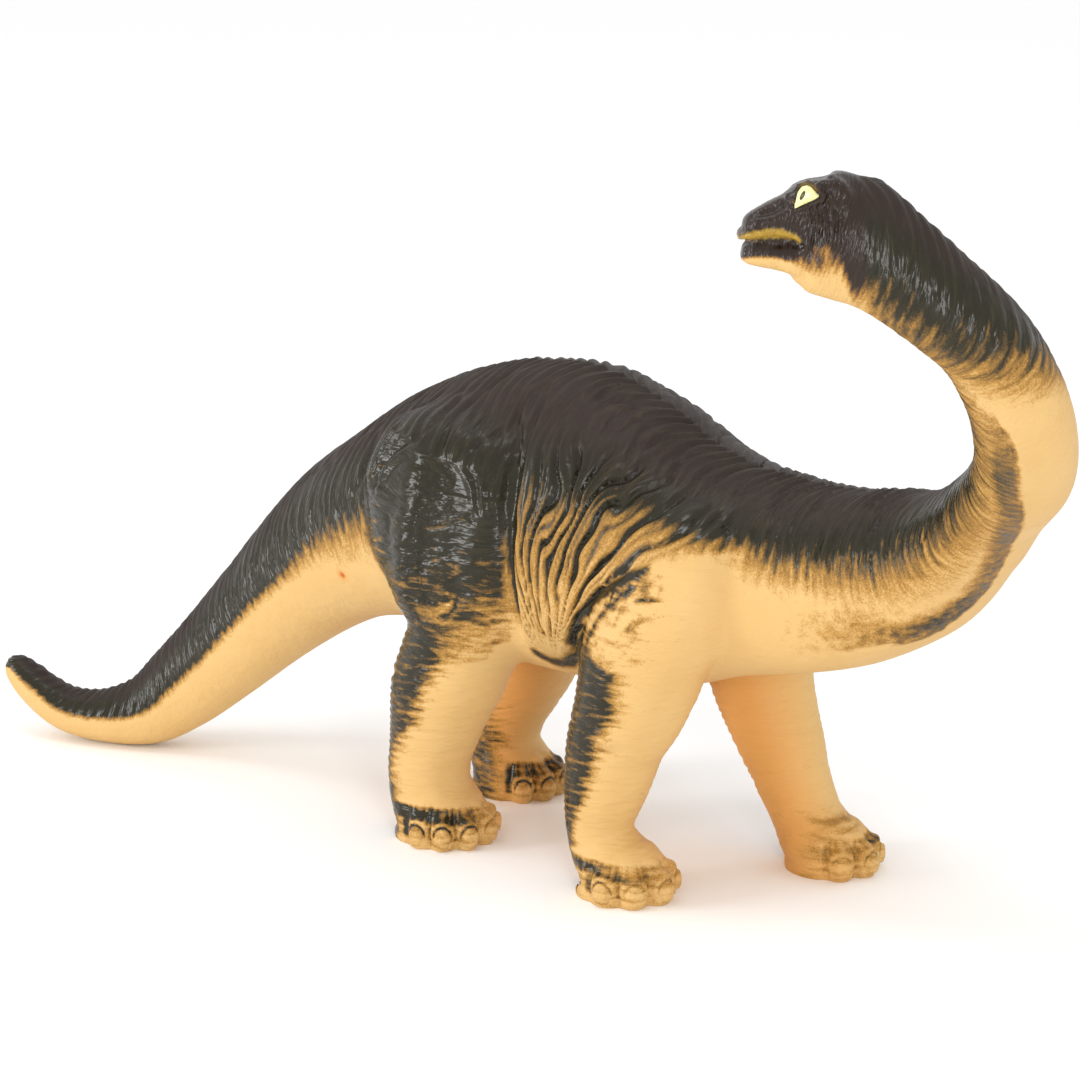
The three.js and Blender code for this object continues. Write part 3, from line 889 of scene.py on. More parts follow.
# %% [markdown]
# ## The face
#
# The face is small and looked at first, so its forms are pressed in one by one, along lines
# drawn in the side view of the head: a deep eye hollow under a heavy brow that runs round
# behind the eye, a gap between the lips, the rolled edge of the upper lip, a nostril, and
# a few arcs of slack skin behind the corner of the mouth.

# %% Lines of the face
LEAF = np.array([
    # x of the head, lower and upper edge of the eye
    [-4.1, 5.35, 5.55], [-3.2, 5.05, 6.65], [-2.3, 4.75, 7.4], [-1.3, 4.4, 7.75], [-0.3, 4.0, 7.5],
    [0.5, 3.6, 6.4], [0.95, 3.4, 4.2],
])
LEAN_AHEAD, LEAN_UP = 0.133, 0.208     # how far a place shifts for each mm it lies aside
SEEN_X, SEEN_Z = 0.2, 0.15


def seen(head):
    """Where a place of the head is seen in the side view of the photograph, which leans a little."""
    aside = np.abs(head[:, 1])
    shifted = step(0.5, 2.5, head[:, 2]) * (head[:, 1] < 0)
    x = head[:, 0] - LEAN_AHEAD * aside - SEEN_X - shifted * SIDE_SHIFT[-1][0]
    return x, head[:, 2] - LEAN_UP * aside - SEEN_Z - shifted * SIDE_SHIFT[-1][2]


BROW_LINE = [(2.3, 5.6), (1.7, 7.6), (-0.3, 9.0), (-2.8, 9.7), (-5.9, 9.2), (-8.2, 7.6),
             (-9.4, 5.2), (-8.8, 3.6)]
HOLLOW_LINE = [(1.6, 3.6), (1.2, 6.4), (-0.4, 8.3), (-2.6, 8.5), (-4.6, 7.4), (-6.0, 5.6)]
LIP_GAP = [(12.8, -3.3), (8.0, -3.1), (4.5, -2.5), (1.7, -3.3), (-0.2, -4.2)]
LIP_ROLL = [(12.6, -2.5), (11.2, -2.25), (8.0, -1.8), (5.9, -1.55), (3.0, -1.75), (0.9, -2.3), (-0.2, -3.2)]
LIP_ABOVE = [(11.6, -1.0), (8.0, -0.5), (5.6, -0.1), (3.0, -0.4), (0.6, -1.2), (-1.2, -2.8)]
NOSE_ROLL = [(8.6, 0.9), (6.0, 1.0), (3.4, 2.0), (1.4, 3.0)]
NOSE_HOLLOW = [(8.0, 2.4), (5.6, 2.9), (3.2, 4.3)]
JOWL = [(-1.6, -5.6), (-3.6, -6.4), (-6.5, -5.4)]


def leaf_gap(x, z):
    """How far a place is outside the leaf shape of the eye; less than 0 inside it."""
    low, high = (np.interp(x, LEAF[:, 0], LEAF[:, k]) for k in (1, 2))
    past = np.maximum(np.maximum(x - LEAF[-1, 0], LEAF[0, 0] - x), 0)
    over = np.maximum(z - high, low - z)
    return np.where(past > 0, np.hypot(past, np.maximum(over, 0)), over)


print("the eye is", round(LEAF[-1, 0] - LEAF[0, 0], 2), "mm long")


# %% Heights of the face
def face_heights(m):
    x, z = seen(m["head"])
    y = m["head"][:, 1]
    outward = step(1.0, 3.0, np.abs(y))

    def beside(line, width):
        return bell(from_line(x, z, line)[0], width)

    lid = leaf_gap(x, z)
    height = 0.50 * bell(lid - 0.6, 0.45) - 0.75 * step(0.25, -0.35, lid)
    brow = np.where(y > 0, 0.9, 0.45) * beside(BROW_LINE, 1.0)
    height += brow - 0.55 * beside(HOLLOW_LINE, 0.5) * step(0.7, 1.1, lid)
    height += 0.55 * beside(NOSE_ROLL, 1.0) - 0.70 * beside(NOSE_HOLLOW, 0.8)
    height -= 0.55 * bell(np.hypot(x - 9.2, z - 1.7), 0.55) + 0.3 * beside(JOWL, 0.8)
    arcs = np.hypot(x - 7.0, (z + 0.5) * 0.9)
    slack = step(7.8, 9.0, arcs) * step(17.0, 14.5, arcs) * step(-6.5, -4.0, z) * step(4.2, 2.6, z)
    height += slack * 0.42 * np.cos(2 * math.pi * (arcs + 0.5 * (noise(z / 1.6, arcs / 3, 12) - 0.5)) / 1.5)
    height = height * outward
    height += 0.40 * beside(LIP_ROLL, 0.8) - 0.95 * beside(LIP_GAP, 0.5) - 0.25 * beside(LIP_ABOVE, 0.4)
    upright = 0.5 + 0.5 * np.cos(2 * math.pi * (x + 0.22 * z + 0.5 * noise(x / 2, z / 2, 15)) / 0.95)
    off_lip = 1 - step(1.9, 1.2, from_line(x, z, LIP_ROLL)[0])
    height -= 0.22 * upright * outward * step(2.0, 3.5, x) * off_lip
    return height * m["snout"]


print("the upper lip has", len(LIP_ROLL), "corners")

# %% [markdown]
# ## Toes and nails
#
# Round each foot, the angle from straight ahead says which toe a place belongs to. Between
# two toes the skin is drawn in, and each toe carries a flat oval nail with a rim.

# %% Heights and rims of the nails
NAIL_HIGH, NAIL_HALF = 3.3, (1.6, 2.2)     # middle above the floor, half width and height


def toe_map(points):
    """How far a place is sideways from the nearest toe's middle, and how close to a foot it is."""
    aside = np.full(len(points), 99.0)
    on_foot = np.zeros(len(points))
    outer = np.zeros(len(points))
    for leg in LEGS.values():
        x, y = points[:, 0] - leg["sole"][0], (points[:, 1] - leg["sole"][1]) * leg["side"]
        reach = np.hypot(x, y)
        near = step(24, 18, reach) * step(11.5, 8.5, points[:, 2]) * step(6.5, 8.5, reach)
        angle = np.degrees(np.arctan2(y, x))
        for degrees in leg["toes"]:
            away = np.radians(angle - degrees) * 11.0 * 3.1 / leg["fat"]
            aside = np.where((near > 0) & (np.abs(away) < np.abs(aside)), away, aside)
        on_foot = np.maximum(on_foot, near * step(-75, -66, angle) * step(158, 140, angle))
        outer = np.where(near > 0, angle, outer)
    return aside, on_foot, outer


def nail_rim(points):
    """The same, and an oval round each nail that is 1 at its edge."""
    aside, on_foot, outer = toe_map(points)
    z = points[:, 2]
    oval = np.hypot(aside / NAIL_HALF[0], (z - NAIL_HIGH) / NAIL_HALF[1])
    return aside, on_foot, outer, oval


def foot_heights(points):
    aside, on_foot, outer, oval = nail_rim(points)
    z = points[:, 2]
    on_foot = on_foot * step(122, 106, outer)
    between = step(2.2, 3.3, np.abs(aside)) * step(13, 8, z)
    nail = step(1.08, 0.9, oval) * step(0.4, 1.2, z)
    rim = bell(oval - 1.25, 0.16)
    fold = bell(oval - 1.85, 0.25) * step(2.5, 4, z)
    return on_foot * (0.30 * nail - 0.30 * rim + 0.22 * fold - 0.55 * between)


print(sum(len(leg["toes"]) for leg in LEGS.values()), "nails")


# %% Press the folds into the skin
def press(ob):
    points = places(ob)
    m = all_maps(points)
    folds, _ = fold_heights(m, points)
    creases, _ = leg_heights(m, points)
    height = folds + creases + face_heights(m) + foot_heights(points)
    points = points + directions(ob) * height[:, None]
    points[:, 2] = np.maximum(points[:, 2], 0.0)
    put(ob, points)
    return height


pressed = press(skin)
print("folds from", round(pressed.min(), 2), "to", round(pressed.max(), 2), "mm")

# %% [markdown]
# ## Thin the mesh where it is smooth
#
# The even grid has far more faces than the smooth belly needs. Decimate collapses edges
# where the surface is flat and keeps the folds. The head and the feet are protected by a
# vertex group, because their detail is the smallest.

# %% Thin the skin
FACE_LIMIT = 196000
KEEP_LEVELS, KEEP_FACTOR = (0.25, 0.5, 0.75, 1.0), 4.0


def protect(ob):
    points = places(ob)
    fine = np.maximum(step(30, 20, np.linalg.norm(to_head(points), axis=1)), step(16, 9, points[:, 2]))
    fine = np.where(points[:, 0] < -30, 0, fine)
    group = ob.vertex_groups.new(name="keep")
    for level in KEEP_LEVELS:
        group.add(np.flatnonzero(fine >= level - 0.01).tolist(), level, "REPLACE")


def thin(ob, limit):
    triangles = sum(len(face.vertices) - 2 for face in ob.data.polygons)
    if triangles > limit:
        apply(ob, "DECIMATE", ratio=limit / triangles, vertex_group="keep", invert_vertex_group=True,
              vertex_group_factor=KEEP_FACTOR, use_collapse_triangulate=True)
    return triangles


protect(skin)
before = thin(skin, FACE_LIMIT)
skin.vertex_groups.clear()
alone(skin)
bpy.ops.object.shade_smooth()
print("thinned from", before, "to", len(skin.data.polygons), "triangles")

# %% [markdown]
# ## Write the maps on the skin
#
# The material draws its streaks and dots finer than the mesh. It needs to know the lie of
# the folds and how thick the paint is, so these are stored on the vertices as attributes.

# %% Edges of the paint on the legs and toes
# height; angle round the leg where the paint of its rear begins, and where it is whole
LEG_EDGE_HIND = np.array([
    [0, 92, 130], [6, 88, 126], [12, 98, 132], [17, 100, 134], [22, 96, 128], [27, 86, 114], [31, 70, 98],
    [42, 68, 92], [48, 54, 86], [56, 10, 100], [62, -20, 112], [68, -60, 66], [74, -110, -10],
    [80, -150, -60], [115, -220, -120],
])
LEG_EDGE_FRONT = np.array([
    [0, 110, 150], [8, 100, 140], [11, 104, 130], [16, 92, 114], [21, 82, 100], [25, 76, 95], [29, 72, 92],
    [35, 68, 90], [38, 64, 86], [42, 68, 90], [47, 56, 80], [51, 60, 84], [54, 66, 90], [57.5, 58, 84],
    [60.5, 90, 150], [64, 120, 170], [70, 150, 190], [95, 180, 220],
])
TOE_PAINT = {
    # how whole the paint on the toes is at -60, -20, 15, 50 and 85 degrees round the foot
    "hind_right": (0.1, 0.15, 0.75, 1.25, 1.35),
    "hind_left": (1.0, 0.9, 0.8, 1.0, 1.2),
    "front_right": (0.1, 0.15, 0.30, 0.42, 0.85),
    "front_left": (0.42, 0.5, 0.55, 0.8, 0.95),
}


def leg_paint(leg):
    """1 behind the edge where the leg's dark rear begins, 0 where the paint ends."""
    angle, z = leg["angle"], leg["z"]
    result = None
    for table in (LEG_EDGE_HIND, LEG_EDGE_FRONT):
        end, whole = (np.interp(z, table[:, 0], table[:, k]) for k in (1, 2))
        value = np.clip((angle - end) / (whole - end), -1.5, np.interp(z, [72, 90], [1.0, 1.4]))
        result = value if result is None else np.where(leg["hind"] > 0.5, result, value)
    hind_reach, front_reach = np.interp(z, [52, 66], [158, 112]), np.interp(z, [56, 64], [158, 190])
    inner = (-angle - np.where(leg["hind"] > 0.5, hind_reach, front_reach)) / 22
    haze = 1.3 * step(36, 12, z) * step(-20, -85, angle) * leg["hind"] * leg["left"]
    haze += 0.72 * step(22, 8, z) * (1 - leg["hind"]) * leg["left"] * step(-100, -40, angle)
    return np.maximum(np.maximum(result, np.minimum(inner, 1.0)), haze - 0.6)


print(len(LEG_EDGE_HIND), "rows for the hind legs and", len(LEG_EDGE_FRONT), "for the front legs")

# %% Strokes, the band under the neck and the feet
STROKES = [
    # corners in x and z, half width, how dark it is in the middle
    # the first two strokes lie along and just under the shoulder's fold: dark paint there, and painted
    # shadow of the fold
    ([(73.5, 82.0), (68.2, 79.4), (61.3, 74.6), (51.9, 66.0), (47, 58)], 1.8, 1.1),
    ([(70.5, 77.4), (66.8, 74.0), (62.2, 68.8), (58.9, 64.0), (57.0, 60.5)], 1.5, 1.0),
    ([(52, 61), (46.4, 54.2), (42, 51.2), (37, 50.4), (34.5, 52.5)], 2.2, 1.15),
]
# row of the body; the far edge of the brown band under the neck, in degrees, and how whole it is
BAND = np.array([
    [18.0, 132, -0.6], [19.0, 134, -0.4], [19.7, 135, 0.05], [20.5, 138, 0.38], [20.9, 162, 0.62],
    [21.3, 177, 0.8], [21.9, 202, 0.72], [22.4, 201, 0.62], [23.1, 188, 0.66], [24.5, 174, 0.72],
    [25.5, 187, 0.66], [26.2, 190, 0.3], [26.6, 190, -0.6],
])


def neck_band(on_body):
    """How whole the brown band is that runs up the neck's underside, -0.6 where it isn't."""
    row = on_body["row"]
    far, whole = (np.interp(row, BAND[:, 0], BAND[:, k]) for k in (1, 2))
    away = on_body["turn"] % 360 - far
    return (whole + 0.6) * step(-62, -22, away) * step(4, -3, away) - 0.6


def foot_paint_and_shade(points):
    """Streaks on top of the toes and rims round the nails, which are paint, and painted shade in the gaps
    between the toes.
    """
    aside, on_foot, outer, oval = nail_rim(points)
    z = points[:, 2]
    whole = np.zeros(len(points))
    for name, leg in LEGS.items():
        near = np.hypot(points[:, 0] - leg["sole"][0], points[:, 1] - leg["sole"][1]) < 24
        whole = np.where(near, np.interp(outer, [-60, -20, 15, 50, 85], TOE_PAINT[name]), whole)
    streak = 0.5 + 0.5 * np.cos(2 * math.pi * (aside / 2.0 + noise(aside, z / 3, 17)))
    top = step(5.4, 7.4, z) * step(12.5, 9.5, z) * whole * (0.62 + 0.5 * streak) * step(1.5, 2.1, oval)
    rim = bell(oval - 1.3, 0.17) * step(2.6, 4.0, z) * np.maximum(whole * 1.1, 0.4)
    # painted shade: dark in the gaps between the toes
    between = step(2.4, 3.3, np.abs(aside)) * step(6.0, 4.4, np.abs(aside)) * step(12, 8, z) * step(1, 3, z)
    between = between * np.maximum(whole * 0.9, 0.35)
    marks = np.maximum(np.maximum(rim, top), between)
    haze = 0.16 * whole * step(1.0, 2.5, z)
    return on_foot * (np.maximum(marks, haze) + 0.6) - 0.6


print(len(STROKES), "strokes and", len(BAND), "rows for the band")


# %% All paint together
def paint(m, points):
    """How whole the paint of the body, legs and feet is: 1 and more is dark, -0.6 is bare vinyl."""
    edge, _ = edge_of(m["body"])
    fan = fan_zone(m, points)
    flank = 0.17 + 0.62 * edge + 0.42 * step(0.5, 1.05, edge)
    on_body = edge * (1 - fan) + flank * fan
    x, z = points[:, 0], points[:, 2]
    behind_groove = step(2.0, -3.0, x - np.interp(z, GROOVE_Z, GROOVE_X)) * step(-12, -4, x)
    rump = np.interp(z, [58, 66, 84, 92, 112, 118], [-0.6, 0.35, 0.9, 1.35, 1.35, 1.0])
    on_body = np.maximum(on_body, (rump + 0.6) * behind_groove - 0.6)
    value = np.maximum(on_body * (1 - m["limb"]) + leg_paint(m["leg"]) * m["limb"], -0.6)
    sides = np.abs(points[:, 1]) > 8
    for corners, half, whole in STROKES:
        gap, _ = from_line(x, z, corners)
        value = np.where(sides, np.maximum(value, (whole + 0.6) * bell(gap, half) - 0.6), value)
    # dark along the creases below the shoulder's fold: paint in the creases and painted shade, over a thin
    # haze of paint
    arc, whole_arc = shoulder_arcs(points)
    value = np.maximum(value, np.maximum(1.7 * arc, 0.5 * whole_arc) - 0.6)
    shoulder_haze = bell(np.hypot((x - 70) / 10, (z - 66) / 9), 1.0)
    value = np.maximum(value, np.where(sides, 0.62 * shoulder_haze, 0.0) - 0.6)
    value = np.maximum(value, foot_paint_and_shade(points))
    return np.maximum(value, neck_band(m["body"]) * (1 - m["limb"]) - 0.6 * m["limb"])


def head_paint(m):
    """The same for the head, whose chin and throat stay bare."""
    x, z = seen(m["head"])
    chin = np.interp(x, [-20, -10.5, -9.2, -8.0, -5.9, -4.2, -2, -0.3, 1.4, 4.5, 8.2, 12],
                     [-17, -15.5, -11.5, -9.0, -8.8, -9.6, -9.0, -8.1, -7.5, -6.6, -6.4, -6.6])
    soft = np.interp(x, [-12, -3, 0, 2], [4.6, 4.4, 2.8, 0.8])
    cheek = 0.75 * bell(np.hypot((x + 4.6) / 2.2, (z + 4.6) / 1.8), 1.0)
    return np.clip((z - chin) / soft + 0.25 - cheek, -1.0, 1.2)


def lip(m):
    """1 on the gold of the lip, and a third of it on the lids."""
    x, z = seen(m["head"])
    gap, _ = from_line(x, z, LIP_ROLL)
    half = np.interp(x, [-0.2, 1, 3, 6, 9, 12], [0.35, 0.5, 0.85, 1.0, 0.85, 0.55])
    lid = leaf_gap(x, z)
    lids = 0.34 * step(1.1, 0.7, lid) * step(-0.2, 0.2, lid) * step(4.6, 5.6, z + 0.5 * x)
    return np.maximum(step(1.15, 0.75, gap / half), lids) * m["snout"]


over_the_eye = from_head(np.array([[-2.0, 5.0, 9.0]]))
print("how whole the paint over the eye is:", head_paint(all_maps(over_the_eye)).round(2))


# %% Store the attributes
def store(ob, name, values):
    kind = "FLOAT" if values.ndim == 1 else "FLOAT_VECTOR"
    layer = ob.data.attributes.new(name, kind, "POINT")
    layer.data.foreach_set("value" if kind == "FLOAT" else "vector", values.astype(float).ravel())


def write_maps(ob):
    points = places(ob)
    m = all_maps(points)
    edge, whole = edge_of(m["body"])
    w, down = lie_on_body(m["body"], whole)
    fan = fan_zone(m, points)
    on_back = step(-0.6, 0.6, edge) * (1 - m["limb"]) * (1 - fan)
    cover = paint(m, points) * (1 - m["snout"]) + head_paint(m) * m["snout"]
    store(ob, "cover", np.clip(cover, -1.5, 2.5))
    store(ob, "back_lie", np.stack([w, down, on_back], 1))
    store(ob, "leg_lie", np.stack([m["leg"]["z"], m["leg"]["arc"], m["limb"]], 1))
    store(ob, "fan_lie", np.stack([m["fan_angle"], m["fan_out"], fan], 1))
    store(ob, "head_lie", m["head"])
    olive = step(26, 60, np.abs(m["body"]["turn"])) * (1 - m["snout"])
    store(ob, "tone", np.stack([olive, m["snout"], lip(m)], 1))
    # painted shade: the insides of the legs and the underside of the belly are coloured orange, as light
    # that bounces between them looks; the mould's mark adds a darker orange spot
    inner = m["limb"] * step(15, -75, m["leg"]["angle"]) * step(-178, -165, m["leg"]["angle"])
    under = 0.55 * step(140, 172, np.abs(m["body"]["turn"])) * step(8, 11, m["body"]["row"])
    under = under * step(19, 17, m["body"]["row"]) * (1 - m["limb"])
    mark = 2.0 * bell(np.linalg.norm(points - MOULD_MARK, axis=1), 1.3)
    store(ob, "warm_shade_and_mark", inner + under + mark)
    # how much darker the folds are coloured: paint that gathers in them, and painted shade
    _, deep = fold_heights(m, points)
    _, deep_leg = leg_heights(m, points)
    store(ob, "deep", np.clip(deep + deep_leg, -1.0, 1.5))


write_maps(skin)
print("stored", [a.name for a in skin.data.attributes if a.name.endswith("lie")])

# %% [markdown]
# ## A short way to write materials
#
# A material is a net of nodes. Writing it as sums keeps it readable: this small class wraps
# a socket, and Python's operators add the Math nodes.

# %% Sockets that can be added and multiplied
class Wire:
    """A socket of one material, ready for sums."""

    def __init__(self, finish, socket):
        self.finish = finish
        self.socket = socket

    def maths(self, operation, *values):
        return self.finish.node("ShaderNodeMath", dict(operation=operation), *values)

    def __add__(self, other):
        return self.maths("ADD", self, other)

    def __sub__(self, other):
        return self.maths("SUBTRACT", self, other)

    def __rsub__(self, other):
        return self.maths("SUBTRACT", other, self)

    def __mul__(self, other):
        return self.maths("MULTIPLY", self, other)

    def __truediv__(self, other):
        return self.maths("DIVIDE", self, other)

    def __pow__(self, other):
        return self.maths("POWER", self, other)

    __radd__ = __add__
    __rmul__ = __mul__

    def step(self, low, high):
        """A smooth step from 0 at low to 1 at high."""
        return self.finish.node("ShaderNodeMapRange", dict(interpolation_type="SMOOTHSTEP"),
                                Value=self, From_Min=low, From_Max=high)


print("sums are written with", ", ".join(name for name in vars(Wire) if name.startswith("__r")))


# %% One material and its nodes
class Finish:
    """One material and the nodes that are added to it."""

    def __init__(self, name):
        self.material = bpy.data.materials.new(name)
        self.material.use_nodes = True
        self.tree = self.material.node_tree
        self.shader = self.tree.nodes["Principled BSDF"]

    def node(self, kind, settings=None, *values, output=0, **named):
        made = self.tree.nodes.new(kind)
        for name, value in (settings or {}).items():
            setattr(made, name, value)
        for k, value in enumerate(values):
            self.join(made.inputs[k], value)
        for name, value in named.items():
            self.join(made.inputs[name.replace("_", " ")], value)
        return Wire(self, made.outputs[output])

    def join(self, socket, value):
        if isinstance(value, Wire):
            self.tree.links.new(value.socket, socket)
        else:
            socket.default_value = value

    def set(self, **inputs):
        for name, value in inputs.items():
            self.join(self.shader.inputs[name.replace("_", " ")], value)

    def attribute(self, name, output="Vector"):
        return self.node("ShaderNodeAttribute", dict(attribute_name=name), output=output)

    def parts(self, vector):
        made = self.tree.nodes.new("ShaderNodeSeparateXYZ")
        self.join(made.inputs[0], vector)
        return [Wire(self, out) for out in made.outputs]

    def point(self, x, y, z=0.0):
        return self.node("ShaderNodeCombineXYZ", None, x, y, z)

    def noise(self, place, scale=1.0, detail=2.0, roughness=0.5, distortion=0.0):
        return self.node("ShaderNodeTexNoise", None, Vector=place, Scale=scale, Detail=detail,
                         Roughness=roughness, Distortion=distortion)

    def colours(self, amount, first, second):
        made = self.tree.nodes.new("ShaderNodeMix")
        made.data_type = "RGBA"
        for socket, value in zip((made.inputs[0], made.inputs[6], made.inputs[7]), (amount, first, second)):
            self.join(socket, value)
        return Wire(self, made.outputs[2])


def rgb(red, green, blue):
    """A colour given as it looks on a screen, from 0 to 255, in the light that nodes work with."""
    parts = [v / 255 for v in (red, green, blue)]
    return tuple(p / 12.92 if p < 0.04045 else ((p + 0.055) / 1.055) ** 2.4 for p in parts) + (1.0,)


print("a mid grey is", round(rgb(128, 128, 128)[0], 3))

# %% [markdown]
# ## The painted vinyl
#
# The vinyl itself is cream and half matt. Inside the legs and under the belly it is painted
# orange as shade, where light bounces between them, and the mould's mark is a darker orange
# spot. The paint was sprayed from above: it is whole on the back, breaks up into streaks
# along the folds at its edge, and ends in a thin haze. So the cover that was stored on the
# vertices is disturbed by a noise that is stretched along the folds, and a soft ramp turns
# it from cream through ochre and brown to dark. The folds are coloured darker and the ridges
# lighter, partly for the paint that gathers in the folds and partly as painted shade. The
# paint is matt along the crest and glossier on the sides and the head. The same stretched
# noise makes the finest wrinkles as bumps.

# %% Paint and vinyl
VINYL_IOR, BUMP_DISTANCE = 1.34, 0.0009


def streaks(f, across, along, wide, long, seed, detail=2.0):
    return f.noise(f.point(across / wide, along / long, seed), detail=detail, roughness=0.55)


def painted_vinyl():
    f = Finish("painted_vinyl")
    cover = f.attribute("cover", "Fac")
    bx, by, on_back = f.parts(f.attribute("back_lie"))
    lz, la, on_leg = f.parts(f.attribute("leg_lie"))
    fa, fo, on_fan = f.parts(f.attribute("fan_lie"))
    olive, on_head, on_lip = f.parts(f.attribute("tone"))
    hx, _, hz = f.parts(f.attribute("head_lie"))
    deep = f.attribute("deep", "Fac")
    warm_shade_and_mark = f.attribute("warm_shade_and_mark", "Fac")
    place = f.node("ShaderNodeTexCoord", output="Object")
    # wrinkles along the lie of the skin, each 0.5 on average
    back_fine = streaks(f, bx, by, 1.5, 6.5, 1.0)
    leg_fine = streaks(f, lz, la, 1.5, 6.0, 2.0)
    fan_fine = streaks(f, fa, fo, 2.2, 14.0, 3.0)
    calm = f.noise(place, scale=420.0, detail=3.0)
    head_fine = streaks(f, hx + hz * 0.25, hz, 0.75, 4.0, 4.0)
    fine = calm + on_back * (back_fine - calm) + on_leg * (leg_fine - calm) + on_fan * (fan_fine - calm)
    fine = fine + on_head * (head_fine - fine)
    broad = f.noise(place, scale=75.0, detail=2.0)
    mist = f.noise(place, scale=2600.0, detail=1.0)
    grain = f.noise(place, scale=1100.0, detail=2.0)
    speck = (mist - 0.5) * 1.3 + (grain - 0.5) * 0.6
    coarse = 1.25 - on_fan * 0.4 + on_leg * 0.55
    # deep colours the folds darker and the ridges lighter: paint in the folds, and painted shade
    level = cover + deep * 0.7 + (fine - 0.5) * coarse + (broad - 0.5) * 0.3
    gold = (level + speck * 0.6).step(-0.16, 0.50)
    brown = (level + speck * 0.45).step(0.26, 0.80)
    dark = (level + speck * 0.25).step(0.54, 1.0)
    cream = f.colours(broad, rgb(204, 164, 101), rgb(213, 176, 116))
    # painted shade: orange inside the legs and under the belly; where the value passes 1.05 it is the
    # mould's darker orange mark
    cream = f.colours(warm_shade_and_mark * 0.8, cream, rgb(206, 144, 71))
    cream = f.colours((warm_shade_and_mark - 1.05) * 1.4, cream, rgb(184, 92, 34))
    ochre = f.colours(fine, rgb(150, 108, 40), rgb(186, 138, 66))
    earth = f.colours(olive, rgb(112, 78, 42), rgb(116, 86, 40))
    umber = f.colours(olive, rgb(42, 31, 25), rgb(36, 33, 20))
    umber = f.colours((fine - 0.5) * 1.0, umber, rgb(78, 66, 44))
    body_colour = f.colours(gold, cream, ochre)
    body_colour = f.colours(brown, body_colour, earth)
    body_colour = f.colours(dark, body_colour, umber)
    body_colour = f.colours(on_lip, body_colour, f.colours(grain, rgb(128, 98, 26), rgb(176, 142, 52)))
    rough = 0.58 - dark * (0.05 + (olive + on_head) * 0.32) + (grain - 0.5) * 0.08
    f.set(Base_Color=body_colour, Roughness=rough, IOR=VINYL_IOR, Specular_IOR_Level=0.5,
          Subsurface_Weight=0.0)
    height = fine * 0.5 + grain * 0.02 + dark * 0.02
    bump = f.node("ShaderNodeBump", None, Strength=1.0, Distance=BUMP_DISTANCE, Height=height)
    f.set(Normal=bump)
    return f.material


vinyl = painted_vinyl()
skin.data.materials.clear()
skin.data.materials.append(vinyl)
FLESH = [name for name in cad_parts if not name.startswith("eye")]
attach(skin, "root")
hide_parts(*FLESH)
print("the skin stands for", len(FLESH), "nodes")

# %% [markdown]
# ## Eyes
#
# Each eye is a drop of pale yellow enamel in a leaf shape, with a small dark pupil that was
# dotted on by hand. A lens from a sphere is drawn to two corners, and its finish measures
# the place of the pupil in the head's own directions.

# %% Model and paint the eyes
EYE_DEEP, EYE_ROUND = 6.75, 1.1     # how far out the lens sits, and half its thickness
EYE_MIDDLE, EYE_REACH = -1.58, 2.62


def eye(name, mirror):
    lens = egg(name + "_lens", (0, 0, 0), (1, 1, 1), segments=64, rings=40)
    ball = places(lens)
    x = EYE_MIDDLE + EYE_REACH * ball[:, 0]
    low, high = (np.interp(x, LEAF[:, 0], LEAF[:, k]) for k in (1, 2))
    round_ = ball[:, 2] / np.sqrt(np.maximum(1 - ball[:, 0] ** 2, 1e-6))
    z = (low + high) / 2 + np.clip(round_, -1, 1) * ((high - low) / 2 + 0.12)
    y = EYE_DEEP + EYE_ROUND * ball[:, 1] - 0.16 * (z - 5.6) - 0.05 * (x + 1.6) ** 2
    x, z = x + LEAN_AHEAD * y + SEEN_X, z + LEAN_UP * y + SEEN_Z
    put(lens, from_head(np.stack([x, y * mirror, z], 1) + SIDE_SHIFT[mirror]))
    close_up(lens)
    alone(lens)
    bpy.ops.object.shade_smooth()
    ahead, high = seen(to_head(places(lens)))
    store(lens, "head_lie", np.stack([ahead, np.zeros(len(ahead)), high], 1))
    lens.data.materials.append(enamel)
    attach(lens, "root")
    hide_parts(name)
    return lens


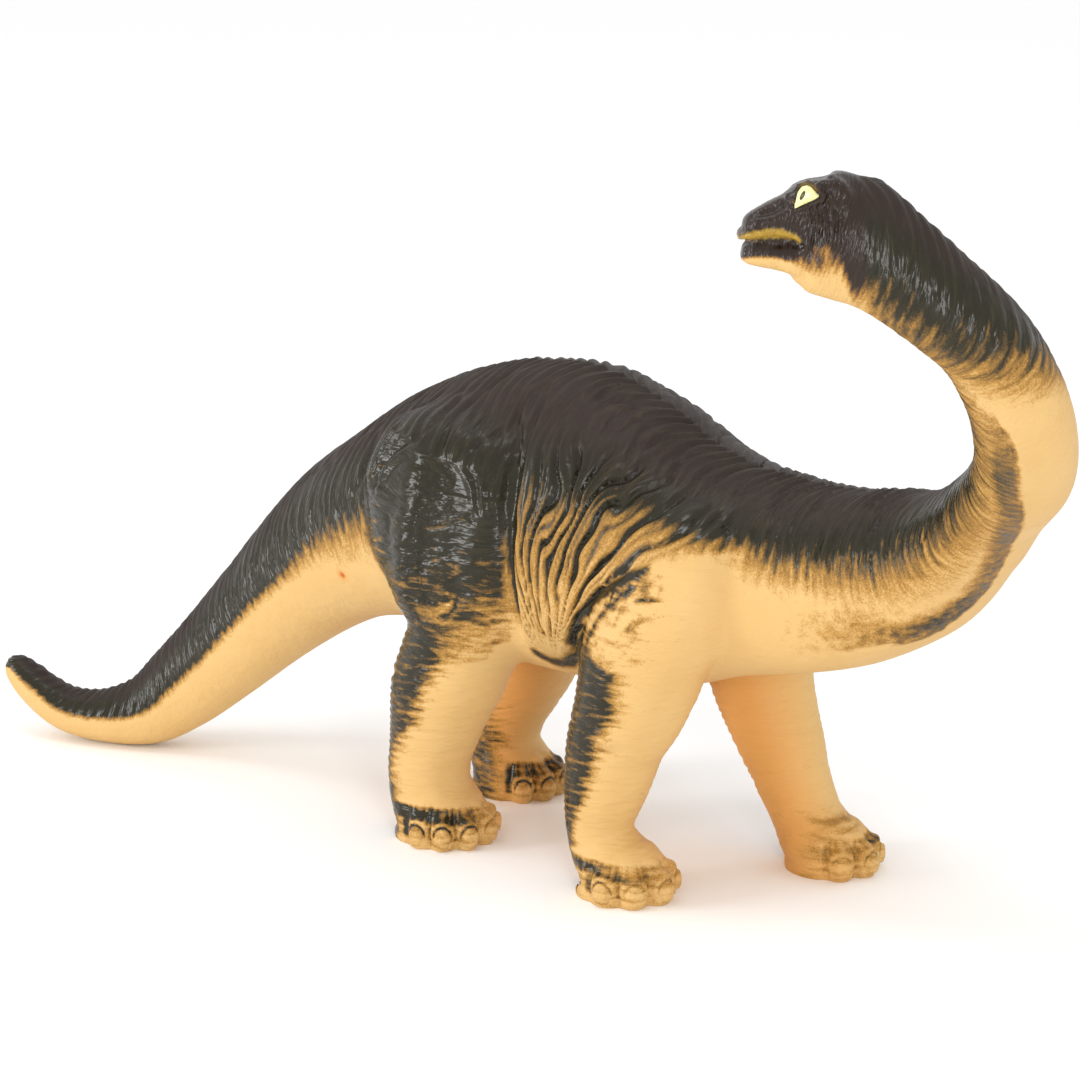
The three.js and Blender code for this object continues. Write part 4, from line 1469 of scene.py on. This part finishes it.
def eye_enamel():
    f = Finish("eye_enamel")
    x, _, z = f.parts(f.attribute("head_lie"))
    across = (x + 0.48 + (z - 5.85) * 0.4) / 0.42
    up = (z - 5.85) / 0.95
    away = (across * across + up * up) ** 0.5
    pupil, glint = away.step(1.06, 0.9), away.step(0.42, 0.3)
    colour = f.colours(pupil, rgb(236, 230, 160), rgb(52, 46, 30))
    colour = f.colours(glint * 0.5, colour, rgb(150, 140, 90))
    f.set(Base_Color=colour, Roughness=0.3, Coat_Weight=0.4, Coat_Roughness=0.15)
    return f.material


enamel = eye_enamel()
eyes = [eye("eye_left", 1), eye("eye_right", -1)]
print("eyes:", [e.name for e in eyes])

# %% [markdown]
# ## Floor and light
#
# The photograph was taken on a white table in soft, even light. A white world gives that
# light, and one small lamp above and two upright strips, from the left front and the right
# front, add the glints on the paint.

# %% Floor, lamps and world
WORLD_STRENGTH = 0.98
LAMPS = {
    # place and aim in mm, width and height in metres, power in watts
    "top_lamp": ((-60, -160, 900), (0, 0, 60), 0.2, 0.2, 1.0),
    "left_strip": ((-600, -760, 230), (0, 0, 80), 0.24, 0.44, 4.2),
    "right_strip": ((760, -640, 240), (90, 0, 120), 0.18, 0.50, 3.2),
}


def lamp(name, place_mm, aim_mm, wide, tall, power):
    bpy.ops.object.select_all(action="DESELECT")
    at, aim = Vector(place_mm) * MM, Vector(aim_mm) * MM
    bpy.ops.object.light_add(type="AREA", location=at)
    made = bpy.context.object
    made.name = name
    made.data.shape = "RECTANGLE"
    made.data.size = wide
    made.data.size_y = tall
    made.data.energy = power
    made.rotation_euler = (aim - at).to_track_quat("-Z", "Y").to_euler()
    return made


bpy.ops.object.select_all(action="DESELECT")
bpy.ops.mesh.primitive_plane_add(size=8)
floor = bpy.context.object
floor.name = "pale_floor"
paper = Finish("pale_paper")
paper.set(Base_Color=rgb(253, 253, 253), Roughness=0.9, Specular_IOR_Level=0.1)
floor.data.materials.append(paper.material)
for name, values in LAMPS.items():
    lamp(name, *values)
world = bpy.data.worlds.new("pale_room")
bpy.context.scene.world = world
world.use_nodes = True
sky = world.node_tree.nodes["Background"]
sky.inputs["Color"].default_value = (1, 1, 1, 1)
sky.inputs["Strength"].default_value = WORLD_STRENGTH
bpy.context.scene.view_settings.view_transform = "Standard"

# %% [markdown]
# ## The end
#
# The figure's box must stay in that of the solids.
